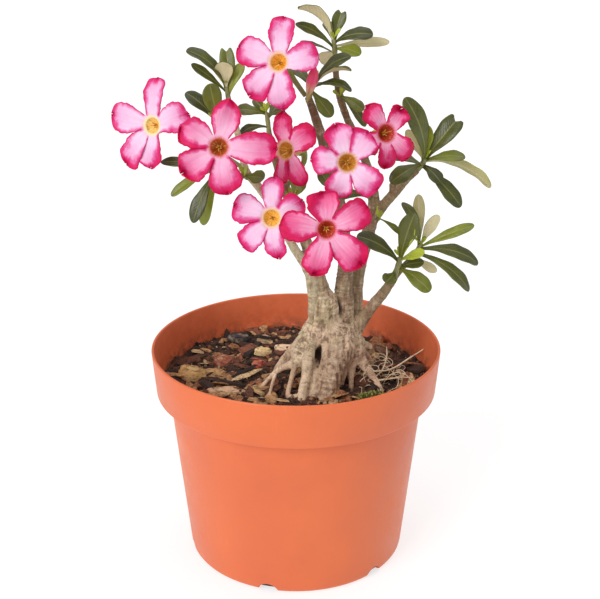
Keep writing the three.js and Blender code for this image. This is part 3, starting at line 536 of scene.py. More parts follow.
def makeCrumbs():
    rng = random.Random(7)
    whole = bmesh.new()
    shadeOf = paintLayers(whole, "shade")[0]
    lump = bmesh.new()
    bmesh.ops.create_icosphere(lump, subdivisions=1, radius=1)
    for i in range(crumbs["count"]):
        x, y = inSoil(rng, crumbs["reach"])
        size = crumbs["small"] + crumbs["spread"] * rng.random() ** 3
        turn = matrixOf(anywhere(rng, 0, 6))
        stretch = [size * rng.uniform(low, high) for low, high in ((0.7, 1.5), (0.6, 1.1), (0.5, 0.9))]
        spot = Vector((x, y, soilTop(x, y) + crumbs["sunk"] * size))
        shade = rng.random() ** 1.2
        for vert in stamp(whole, lump, Matrix.Translation(spot) @ turn @ Matrix.Diagonal((*stretch, 1))):
            vert.co += Vector(anywhere(rng, -1, 1)) * size * crumbs["ragged"]
            vert[shadeOf] = shade
    addPiece("soil_crumbs", whole, [crumbMaterial()], flat=True)


makeSoil()
makeCrumbs()
print("soil laid")


def litterMaterial():
    startMaterial("barkLitter", 0.88)
    base = ramp(read("shade"), [(0.0, "#1f140f"), (0.22, "#4a2b1e"), (0.4, "#75432d"), (0.55, "#9a5a3e"),
                                (0.68, "#ae7a4e"), (0.82, "#cf9f6c"), (1.0, "#e6c393")])
    grain = noisy(place((1, 1, 4)), 420, 4, 0.7)
    base = blend(ramp(grain, [(0.36, 0.75), (0.58, 0)]), base, "#1f130d")
    return finishMaterial(base, (grain, 0.9, 0.0007))


def makeLitter():
    # flat broken flakes of bark, thick on the left and thin on the right
    rng = random.Random(11)
    whole = bmesh.new()
    shadeOf = paintLayers(whole, "shade")[0]
    for i in range(flakes["count"]):
        x, y = inSoil(rng, flakes["reach"])
        if x > flakes["thinPast"] and rng.random() < flakes["thinned"]:
            continue
        size = flakes["small"] + flakes["spread"] * rng.random() ** 1.7
        bm = bmesh.new()
        bmesh.ops.create_circle(bm, cap_ends=True, segments=rng.randint(5, 8), radius=1)
        for vert in bm.verts:
            vert.co *= rng.uniform(0.65, 1.15)
        thick = rng.uniform(0.1, 0.28)
        moved = bmesh.ops.extrude_face_region(bm, geom=bm.faces[:])["geom"]
        top = [v for v in moved if isinstance(v, bmesh.types.BMVert)]
        bmesh.ops.translate(bm, verts=top, vec=(0, 0, thick))
        bmesh.ops.scale(bm, vec=(0.85, 0.85, 1), verts=top)
        bmesh.ops.recalc_face_normals(bm, faces=bm.faces)
        lie = matrixOf((rng.uniform(-0.5, 0.5), rng.uniform(-0.5, 0.5), rng.uniform(0, 6.3)))
        stretch = Matrix.Diagonal((size * rng.uniform(0.9, 1.6), size * rng.uniform(0.45, 0.8), size, 1))
        spot = Vector((x, y, soilTop(x, y) + rng.uniform(-0.2, 0.9)))
        flake = stamp(whole, bm, Matrix.Translation(spot) @ lie @ stretch)
        bm.free()
        paint(flake, shadeOf, rng.random())
    addPiece("bark_litter", whole, [litterMaterial()], flat=True)


def makeFibres():
    # shreds of root and bark lying across the soil
    rng = random.Random(23)
    bm = bmeshWithUv()
    shadeOf = paintLayers(bm, "shade")[0]
    for i in range(fibres["count"]):
        x, y = inSoil(rng, fibres["reach"])
        turn = rng.uniform(0, 2 * pi)
        path = []
        for knot in range(fibres["knots"]):
            path.append((x, y, soilTop(x, y) + rng.uniform(0.3, 2.2)))
            turn += rng.uniform(-0.7, 0.7)
            stride = rng.uniform(2, 5.5)
            x, y = x + stride * cos(turn), y + stride * sin(turn)
            if hypot(x, y) > fibres["edge"]:
                break
        if len(path) < 3:
            continue
        thick = rng.uniform(0.12, 0.34)
        before = len(bm.verts)
        wrapTube(bm, path, lambda t: thick * (1 - 0.5 * t), 4, 2.4)
        paint(newest(bm.verts, before), shadeOf, rng.uniform(0.45, 1))
    addPiece("soil_fibres", bm, [litterMaterial()])


makeLitter()
makeFibres()
print("litter scattered")


# the low cushion of moss

moss = {"x": 48, "y": -34, "length": 22, "width": 13, "height": 6, "turn": 25, "leaflets": 520}


def mossLeaflet():
    bm = bmesh.new()
    bmesh.ops.create_grid(bm, x_segments=1, y_segments=2, size=0.5)
    for vert in bm.verts:
        vert.co.x *= 0.5 * (1 - abs(2 * vert.co.y)) + 0.12
        vert.co.z = 0.25 * (vert.co.y + 0.5) ** 2
        vert.co.y += 0.5
    return bm


def makeMoss():
    startMaterial("moss", 0.8)
    material = finishMaterial(ramp(read("shade"), [(0.0, "#2f3012"), (0.4, "#5f6324"), (0.75, "#8a8a3c"),
                                                   (1.0, "#bcb070")]))
    rng = random.Random(3)
    lie = (Matrix.Translation((moss["x"], moss["y"], soilHeight(moss["x"], moss["y"]) + 0.3))
           @ Matrix.Rotation(radians(moss["turn"]), 4, "Z")
           @ Matrix.Diagonal((moss["length"] / 2, moss["width"] / 2, moss["height"] / 2, 1)))
    whole = bmesh.new()
    shadeOf = paintLayers(whole, "shade")[0]
    bmesh.ops.create_icosphere(whole, subdivisions=3, radius=1)
    for vert in whole.verts:
        vert.co = lie @ (vert.co * (0.9 + 0.14 * noise.noise(vert.co * 3)))
        vert[shadeOf] = 0.1
    leaflet = mossLeaflet()
    for i in range(moss["leaflets"]):
        out = Vector((rng.gauss(0, 1), rng.gauss(0, 1), abs(rng.gauss(0, 1)))).normalized()
        spot = lie @ (out * rng.uniform(0.88, 1.02))
        size = rng.uniform(0.9, 2.1)
        aim = out + Vector((rng.uniform(-0.7, 0.7), rng.uniform(-0.7, 0.7), rng.uniform(0, 0.8)))
        turn = aim.normalized().to_track_quat("Y", "Z").to_matrix().to_4x4()
        roll = Matrix.Rotation(rng.uniform(0, 6), 4, "Y")
        tuft = stamp(whole, leaflet, Matrix.Translation(spot) @ turn @ roll @ Matrix.Scale(size, 4))
        paint(tuft, shadeOf, rng.uniform(0.25, 1))
    addPiece("moss_cushion", whole, [material], ["moss"], flat=True)


makeMoss()
print("moss grown")


# the larger bark chips

# x, y, length, width and height of each chip, how it is turned, tilted and leant, and its colour
chips = [
    (-69, -1, 21, 16, 12, 30, 24, -14, "#dcae70"),
    (-49, 24, 18, 13, 5, -20, 10, 10, "#9c523a"),
    (-23, 40, 15, 11, 6, 20, 12, -6, "#f0cf96"),
    (-6, 46, 19, 9, 5, 4, 8, 14, "#f0caa6"),
    (-26, 20, 13, 9, 5, 60, 12, -6, "#cc6550"),
    (-44, -24, 28, 11, 4, 12, 6, 10, "#dbae8a"),
    (-42, 63, 19, 13, 5, 25, 14, 8, "#3a3238"),
    (-22, 63, 13, 8, 5, -12, 6, 12, "#c8a583"),
    (60, 40, 20, 11, 4, -50, 8, 6, "#6e4a37"),
    (18, 66, 26, 12, 5, 12, 8, -6, "#8b5a3d"),
    (10, -66, 24, 12, 5, -14, 6, -6, "#7a4b34"),
    (-49, -56, 20, 12, 5, -40, 5, 8, "#9a6a4a"),
    (56, -55, 17, 9, 5, 40, 4, -5, "#5b3b2c"),
]

chipShape = {"corners": 7, "uneven": 0.16, "sunk": 0.2, "cuts": 9, "layered": 0.1, "worn": 0.25,
             "grooved": 0.16}


def chipMaterial(name, code):
    startMaterial(name, 0.85)
    grain = noisy(place((1, 1, 5)), 260, 5, 0.7)
    patches = noisy(place(), 150, 4, 0.6)
    base = blend(ramp(grain, [(0.32, 0.9), (0.5, 0)]), code, "#3a241a")
    base = blend(ramp(patches, [(0.5, 0), (0.75, 0.5)]), base, "#e2cba0")
    base = blend(ramp(patches, [(0.25, 0.6), (0.42, 0)]), base, "#1d120d")
    return finishMaterial(base, (grain, 0.9, 0.0009))


def makeChip(index, chip):
    x, y, length, width, height, turn, tilt, lean, code = chip
    bm = bmesh.new()
    bmesh.ops.create_cube(bm, size=1)
    bmesh.ops.subdivide_edges(bm, edges=bm.edges, cuts=chipShape["cuts"], use_grid_fill=True)
    sides = chipShape["corners"]
    corners = [1 + chipShape["uneven"] * wobble(i, index) for i in range(sides)]
    spot = Vector((x, y, soilHeight(x, y) + height * chipShape["sunk"]))
    lie = Matrix.Translation(spot) @ matrixOf((radians(lean), radians(tilt), radians(turn)))
    for vert in bm.verts:
        flat = Vector((vert.co.x, vert.co.y)) * 2
        square = max(abs(flat.x), abs(flat.y))
        angle = atan2(flat.y, flat.x) % (2 * pi)
        low = int(angle / (2 * pi) * sides) % sides
        # straight between two corners of the broken outline
        a, b = [Vector((cos(2 * pi * k / sides), sin(2 * pi * k / sides))) * corners[k % sides]
                for k in (low, low + 1)]
        reach = -a.cross(b) / (b - a).cross(Vector((cos(angle), sin(angle))))
        level = vert.co.z
        layered = 1 + chipShape["layered"] * noise.noise((level * 9, index * 3.1, 0)) * (square > 0.8)
        worn = 1 - chipShape["worn"] * abs(2 * level) ** 3 * (square > 0.85)
        out = square * reach * layered * worn / 2
        u, v = out * cos(angle) * length, out * sin(angle) * width
        grooves = noise.noise((u * 0.16, v * 0.9, index)) + noise.fractal((u / 3, v / 3, index), 1, 2, 3)
        carved = height * chipShape["grooved"] * grooves / 2 if abs(level) > 0.45 else 0
        w = level * height + carved
        vert.co = lie @ Vector((u, v, w))
    name = f"bark_chip_{index + 1}"
    addPiece(f"bark_piece_{index + 1}", bm, [chipMaterial(f"barkChip{index + 1}", code)], [name])


for index, chip in enumerate(chips):
    makeChip(index, chip)
print("bark chips laid")


# caudex, roots and branches

# the groove and ridge colours are the painted shade in the bark's grooves and the painted highlight on its
# ridges
wood = {"voxel": 0.8, "smoothing": 5, "facet": 2.5, "lumps": 0.7, "rings": 0.055, "flutes": 0.45,
        "cracks": 0.4, "thick": 9, "reach": 22, "pale": "#ebcbac", "grey": "#c9a888", "brown": "#87644a",
        "green": "#8d8257", "moss": "#bcae84", "grooveShade": "#6a4a34", "ridgeHighlight": "#f0dcc2", "dark": "#3a2714",
        "cream": "#e9dcb8", "umber": "#6f4d39", "darkRing": "#6d5139", "paleRing": "#d9cbac",
        "speck": "#4a3626"}

# each limb is a path with its radii from foot to tip, and its bark's tone: paler than the rest
# above 0, browner below
limbs = [
    # the swollen trunk
    ([(19, -13, 104), (20, -12, 127), (21, -11, 143), (23, -9, 156), (27, -8, 168)],
     [10, 12, 15, 17.5, 18.5, 16, 11], 0),
    # bare branches and their side shoots
    # the leftmost branch: its tone of 1 is partly pale bark and partly a painted highlight
    ([(18, -11, 155), (12, -14, 170), (11, -16, 184), (8, -19, 201), (-2, -21, 220), (-13, -20, 241),
      (-22, -20, 256), (-30, -20, 267), (-33, -18, 281), (-36, -16, 293), (-39, -15, 302)],
     [5, 3.6, 2.9, 2.6, 2.4, 2.2, 1.9], 1.0),
    ([(22, -10, 155), (19, -11, 170), (18, -12, 182), (13, -14, 201), (5, -16, 224), (-4, -14, 247),
      (-11, -10, 267), (-15, -7, 280), (-16, -6, 288)], [8.5, 6, 4.6, 4, 3.2, 2.4, 1.9], 0),
    ([(27, -7, 155), (31, -6, 170), (31, -5, 188), (32, -4, 203), (29, -2, 230), (24, 0, 258),
      (17, 0, 280), (12, -1, 296), (7, -2, 310)], [9, 6.5, 5.2, 4.6, 3.8, 3, 2.4], -0.8),
    ([(29, -2, 153), (37, 2, 167), (39, 6, 184), (42, 8, 200), (47, 10, 219), (50, 11, 236),
      (48, 14, 252), (41, 17, 273), (32, 17, 292), (26, 14, 312), (24, 12, 329)],
     [8, 5.5, 4.6, 4.4, 3.6, 2.8, 2.4, 2.1], -0.5),
    ([(47, 10, 222), (54, 9, 234), (62, 7, 245), (70, 5, 255), (77, 3, 263)], [3.4, 3.2, 3, 2.7], -0.3),
    ([(62, 7, 245), (61, 5, 250), (60, 4, 254)], [2.8, 2.2, 1.8], 0),
    ([(30, -7, 148), (39, -7, 158), (46, -10, 171), (56, -16, 187), (63, -20, 200)],
     [8, 5.2, 4, 3.4, 2.8], -0.35),
    ([(57, -16, 189), (64, -16, 199), (70, -18, 208)], [2.6, 2.2, 2], 0),
    ([(-28, -20, 264), (-36, -21, 264), (-43, -23, 264)], [1.9, 1.7, 1.5], 0),
    # shoulders where the branches part
    ([(22, -10, 156), (19, -11, 168), (18, -12, 179), (15, -13, 190)], [13, 10.8, 8.6, 5], 0),
    ([(16, -12, 163), (11, -15, 155), (7, -18, 148), (4, -20, 141), (3, -21, 136)],
     [11, 9.6, 9, 8.4, 5], 0.5),
    ([(28, -9, 160), (34, -10, 152), (38, -12, 145), (40, -13, 138)], [12, 10, 8, 5], 0),
    # raised roots in front
    ([(25, -13, 162), (25, -17, 152), (25, -20, 143), (23, -24, 137), (20, -29, 127), (19, -31, 119),
      (18, -32, 108)], [11, 10.6, 9.6, 8.8, 8, 8.4, 9], -0.3),
    ([(16, -13, 160), (12, -21, 154), (9, -26, 148), (7.5, -29.5, 142), (6.5, -32, 135), (5, -35, 128),
      (4, -37, 120), (4, -38, 108)], [6, 5, 4.2, 3.6, 3.3, 3.3, 3.6, 3.8], 0.4),
    ([(13, -26, 141), (12, -28, 136), (11, -31, 128), (10, -33, 120), (10, -34, 108)],
     [3.2, 3.6, 4, 4.2, 4.4], 0.4),
    # thin roots on the left and on the right
    ([(6, -19, 144), (-1, -21, 140), (-8, -20.5, 136.5), (-13, -19.5, 133), (-17, -19, 128.5),
      (-22, -18.5, 122), (-25, -18, 112)], [5, 3.4, 2, 1.8, 1.6, 1.5, 1.5], 0.3),
    ([(-13, -20, 133), (-15, -25, 128), (-17, -31, 121), (-18, -33, 112)], [1.5, 1.3, 1.2, 1.2], 0),
    ([(2, -22, 142), (-1, -25, 137), (-3, -28, 131), (-5, -31, 124), (-5, -33, 121.5), (-1, -34.5, 122.5),
      (4, -35.5, 124)], [3, 2, 1.7, 1.7, 1.9, 1.6, 1.6], 0),
    ([(40, -13, 141), (46, -15, 134), (50, -16, 128), (55, -20, 121), (57, -22, 112)],
     [5, 3.4, 2.6, 2, 1.8], 0),
    ([(36, -14, 143), (36.5, -17, 135), (36, -19, 127), (36, -21, 119), (36, -22, 110)],
     [5, 2.6, 1.8, 1.7, 1.7], 0),
    # a stub
    ([(38, -9, 150), (45, -9.5, 147), (51, -9, 145)], [4, 3.2, 2.8], 0),
    # roots behind
    ([(30, 0, 150), (38, 10, 140), (46, 19, 128), (54, 27, 112)], [8, 5.6, 4, 3], 0),
    ([(20, 2, 152), (19, 13, 141), (17, 23, 129), (16, 33, 112)], [8.5, 6.4, 4.6, 3.4], 0),
    ([(11, -4, 151), (2, 2, 141), (-7, 6, 130), (-18, 8, 112)], [7.5, 5.2, 3.8, 2.8], 0),
]

wiryRoots = [
    ([(51, -18, 128), (57, -9, 130), (60, -3, 137), (60, 2, 142)], [1.2, 1.1, 1, 0.7]),
    ([(48, -17, 132), (62, -11, 131), (75, -4, 136), (85, 0, 141)], [1.2, 1.1, 1, 0.7]),
    ([(52, -18, 126), (62, -19, 128), (72, -15, 127), (80, -13, 124)], [1.3, 1.2, 1, 0.8]),
]
rootlets = {"count": 34, "slender": 0.48, "edge": 84, "clear": 0.3}

# folds pressed into the bark and painted dark as shade, as a path, its width and its depth
folds = [
    ([(17.5, -23, 159), (15.8, -25, 153.5), (14, -27, 147), (14, -28, 141)], 2.7, 6.0),
    ([(31, -22, 148), (33, -21, 141), (33, -21, 133)], 2.2, 3.0),
    ([(47, -11, 145), (48, -12, 144)], 1.5, 2.5),
    ([(27, -12, 182), (28, -12, 172), (29, -14, 164)], 2.2, 3.0),
    ([(3, -24, 141), (2, -26, 134)], 2.0, 2.0),
]

# what the bark's mesh tells its material
barkLayers = ("along", "wide", "hollow", "relief", "pallor")


def woodMaterial():
    startMaterial("bark", 0.72)
    where = place()
    span, wide, crease, relief, pallor = read(*barkLayers)
    drift = put("VectorMath", {0: where, 1: (130, 130, 130)}, operation="MULTIPLY").outputs[0]
    rings = put("VectorMath", {0: joined(times(span, 1.1), 0.0, 0.0), 1: drift}, operation="ADD").outputs[0]
    ringNoise = noisy(rings, 1.0, 4, 0.6)
    patches = noisy(where, 75, 5, 0.6)
    fine = noisy(where, 900, 4, 0.7)
    heights = put("SeparateXYZ", {0: where}).outputs[2]
    # thick wood and the roots below it have an old bark, and the branches a young one
    thick = calc("MAXIMUM", remap(wide, 2.2, 9), remap(heights, 0.157, 0.142))
    young = blend(ramp(patches, [(0.35, 0), (0.65, 1)]), wood["green"], wood["brown"])
    old = blend(ramp(patches, [(0.35, 0), (0.6, 1)]), wood["grey"], wood["pale"])
    base = blend(thick, young, old)
    # a tone above 0 paints a limb paler, on the leftmost branch partly as a painted highlight; below 0
    # browner
    base = blend(remap(pallor, 0.0, 1.0, 0, 0.7), base, wood["cream"])
    base = blend(remap(pallor, 0.0, -1.0, 0, 0.7), base, wood["umber"])
    # the upper part of the swollen stem has a greenish skin in patches
    upper = times(remap(heights, 0.146, 0.162), ramp(patches, [(0.4, 1), (0.56, 0)]))
    base = blend(times(times(upper, thick), 0.7), base, wood["moss"])
    # painted shade darkens the grooves and a painted highlight lightens the ridges, following the carved
    # relief and the streaks in stain; fine dark specks lie over both
    streaks = noisy(place((1, 1, 0.12)), 420, 4, 0.65)
    stain = plus(relief, times(minus(streaks, 0.5), 1.3))
    base = blend(remap(stain, 0.0, -0.6, 0, 0.75), base, wood["grooveShade"])
    base = blend(remap(stain, 0.1, 0.65, 0, 0.7), base, wood["ridgeHighlight"])
    base = blend(times(ramp(ringNoise, [(0.36, 1), (0.47, 0)]), 0.5), base, wood["darkRing"])
    base = blend(times(ramp(ringNoise, [(0.55, 0), (0.68, 1)]), 0.4), base, wood["paleRing"])
    base = blend(ramp(fine, [(0.33, 0.4), (0.5, 0)]), base, wood["speck"])
    # painted shade in the pressed folds, darkest where a fold is deep
    base = blend(ramp(crease, [(0.1, 0), (0.8, 1)]), base, wood["dark"])
    height = plus(plus(times(ringNoise, 1.2), times(fine, 0.6)), streaks)
    return finishMaterial(base, (height, 0.7, 0.0006))


barkMaterial = woodMaterial()


def limbSkin():
    # all the limbs as tubes, melted into one skin
    bm = bmeshWithUv()
    for index, (path, radii, tone) in enumerate(limbs):
        caudex = index == 0
        shape = (lambda t, a: 1 + 0.08 * cos(5 * a + 1.2 * t) + 0.04 * cos(3 * a)) if caudex else None
        wrapTube(bm, path, lambda t: along(radii, t), 20 if caudex else 12, wood["facet"], shape)
    return modified(meshFrom(bm, "limbs"), ("REMESH", {"mode": "VOXEL", "voxel_size": wood["voxel"]}),
                    ("SMOOTH", {"factor": 0.5, "iterations": wood["smoothing"]}))


def limbMarks():
    # points along each limb: place, span from the foot, radius and tone
    marks = []
    for index, (path, radii, tone) in enumerate(limbs):
        at = curveThrough(path)
        length = curveLength(at, 30)
        count = max(4, int(length / 2))
        marks += [(at(i / count), length * i / count + 40 * index, along(radii, i / count),
                   tone * smooth(i / count * 4)) for i in range(count + 1)]
    return marks


def foldMarks():
    pressed = []
    for path, width, depth in folds:
        at = curveThrough(path)
        for i in range(13):
            wide, deep = 0.45 + 0.55 * sin(pi * i / 12), sin(pi * (i + 1) / 14) ** 0.5
            pressed.append((at(i / 12), width * wide, depth * deep))
    return pressed


def barkRelief(co, span, wide):
    x, y, z = co
    thick = min(1, wide / wood["thick"])
    # flutes and cracks run up the thick wood, and rings go round every limb
    ringed = noise.noise((span * 0.5, x * 0.1, y * 0.1))
    ringed += 0.6 * noise.noise((span * 1.1, x * 0.2, y * 0.2))
    crease = max(0, 1 - abs(noise.noise((x / 2.4 + 5, y / 2.4, z / 14))) / 0.12)
    carved = wood["flutes"] * noise.noise((x / 1.9, y / 1.9, z / 10)) - wood["cracks"] * crease
    carved += 0.15 * noise.noise((x / 9, y / 9, z / 1.3))
    carved = carved * thick + ringed * wood["rings"] * min(wide, 7)
    return carved, carved + noise.fractal(co / 13, 1, 2, 3) * wood["lumps"] * (0.25 + thick)


def makeWood():
    bm = bmeshFrom(limbSkin())
    marks = limbMarks()
    near = kdtree.KDTree(len(marks))
    for i, mark in enumerate(marks):
        near.insert(mark[0], i)
    near.balance()
    pressed = foldMarks()
    spanOf, wideOf, hollowOf, reliefOf, pallorOf = paintLayers(bm, *barkLayers)
    moves = []
    for vert in bm.verts:
        # the limb whose skin, not whose middle, is nearest
        hits = near.find_range(vert.co, wood["reach"])
        nearest = min(hits, key=lambda hit: abs(hit[2] - marks[hit[1]][2]))[1]
        span, wide, pallor = marks[nearest][1:]
        carved, push = barkRelief(vert.co, span, wide)
        dip = 0
        for spot, width, depth in pressed:
            away = (vert.co - spot).length / width
            if away < 1.6:
                dip = max(dip, depth * exp(-2.2 * away * away))
        vert[spanOf], vert[wideOf], vert[pallorOf] = span, wide, pallor
        # how deep the fold is here, which sets the painted shade in it
        vert[hollowOf] = min(1, dip / 2.5)
        # the relief also sets the painted shade in the grooves and the painted highlight on the ridges
        vert[reliefOf] = carved / 0.6
        moves.append(push - dip)
    bm.normal_update()
    normals = [vert.normal.copy() for vert in bm.verts]
    for vert, push, normal in zip(bm.verts, moves, normals):
        vert.co += normal * push
    addPiece("caudex_and_branches", bm, [barkMaterial], ["trunk"])


def makeWiryRoots():
    rng = random.Random(5)
    bm = bmeshWithUv()
    for path, radii in wiryRoots:
        wrapTube(bm, path, lambda t: along(radii, t) * rootlets["slender"], 7, 1.5)
    # finer rootlets that leave them and wander to the right
    edge = rootlets["edge"]
    for i in range(rootlets["count"]):
        path = [Vector((rng.uniform(40, 68), rng.uniform(-24, 4), rng.uniform(122, 136)))]
        turn, lift = rng.uniform(-60, 90), rng.uniform(0, 55)
        bend = rng.choice((-1, 1)) * rng.uniform(18, 50)
        for knot in range(rng.randint(5, 9)):
            turn += bend + rng.uniform(-25, 25)
            lift = lift * 0.75 - 12 + rng.uniform(-20, 20)
            path.append(path[-1] + headingFrame(turn, lift)[0] * rng.uniform(2.2, 4.2))
        path = [Vector((p.x, p.y, max(p.z, soilHeight(p.x, p.y) + rootlets["clear"]))) for p in path]
        path = [p if hypot(p.x, p.y) < edge else p * (edge / hypot(p.x, p.y)) for p in path]
        thick = rng.uniform(0.2, 0.42)
        wrapTube(bm, path, lambda t: thick * (1 - 0.6 * t), 5, 1.2)
    spanOf, wideOf, hollowOf, reliefOf, pallorOf = paintLayers(bm, *barkLayers)
    for vert in bm.verts:
        vert[spanOf] = vert.co.x + vert.co.z
        vert[wideOf], vert[hollowOf], vert[reliefOf], vert[pallorOf] = 9.0, 0.0, 0.1, 0.5
    addPiece("wiry_roots", bm, [barkMaterial])


makeWood()
makeWiryRoots()
print("bark grown")


# foliage: a shoot and its leaves for each node
# a leaf: place along its shoot, heading, rise, length, width, curl, roll, tone from dark 0 to
# bright 1, and how steeply its halves fold up

blade = {"petiole": 0.2, "widest": 0.68, "taper": 1.15, "across": 10, "rows": 22, "thickness": 0.5,
         "revolute": 0.12, "light": (0, -0.6, 0.8), "notchedEnd": 0.93, "notchDepth": 0.07,
         "topmost": 0.88, "standOff": 0.6}
shootTip = {"young": 4, "sunk": 0.6, "spread": 50, "rise": (35, 75), "length": (5, 9), "width": (1.8, 3)}
leafColours = {"tone": ["#36390a", "#5c6213", "#80891c", "#9aa62c", "#b8c63a"], "rib": "#9c9c5c",
               "vein": "#8d904a", "margin": "#90924f", "under": "#d4c99e", "underGreen": "#a9a56a",
               "underVein": "#868650", "underRib": "#d6cfa4", "stem": "#7f8050", "scar": "#6c5a40"}
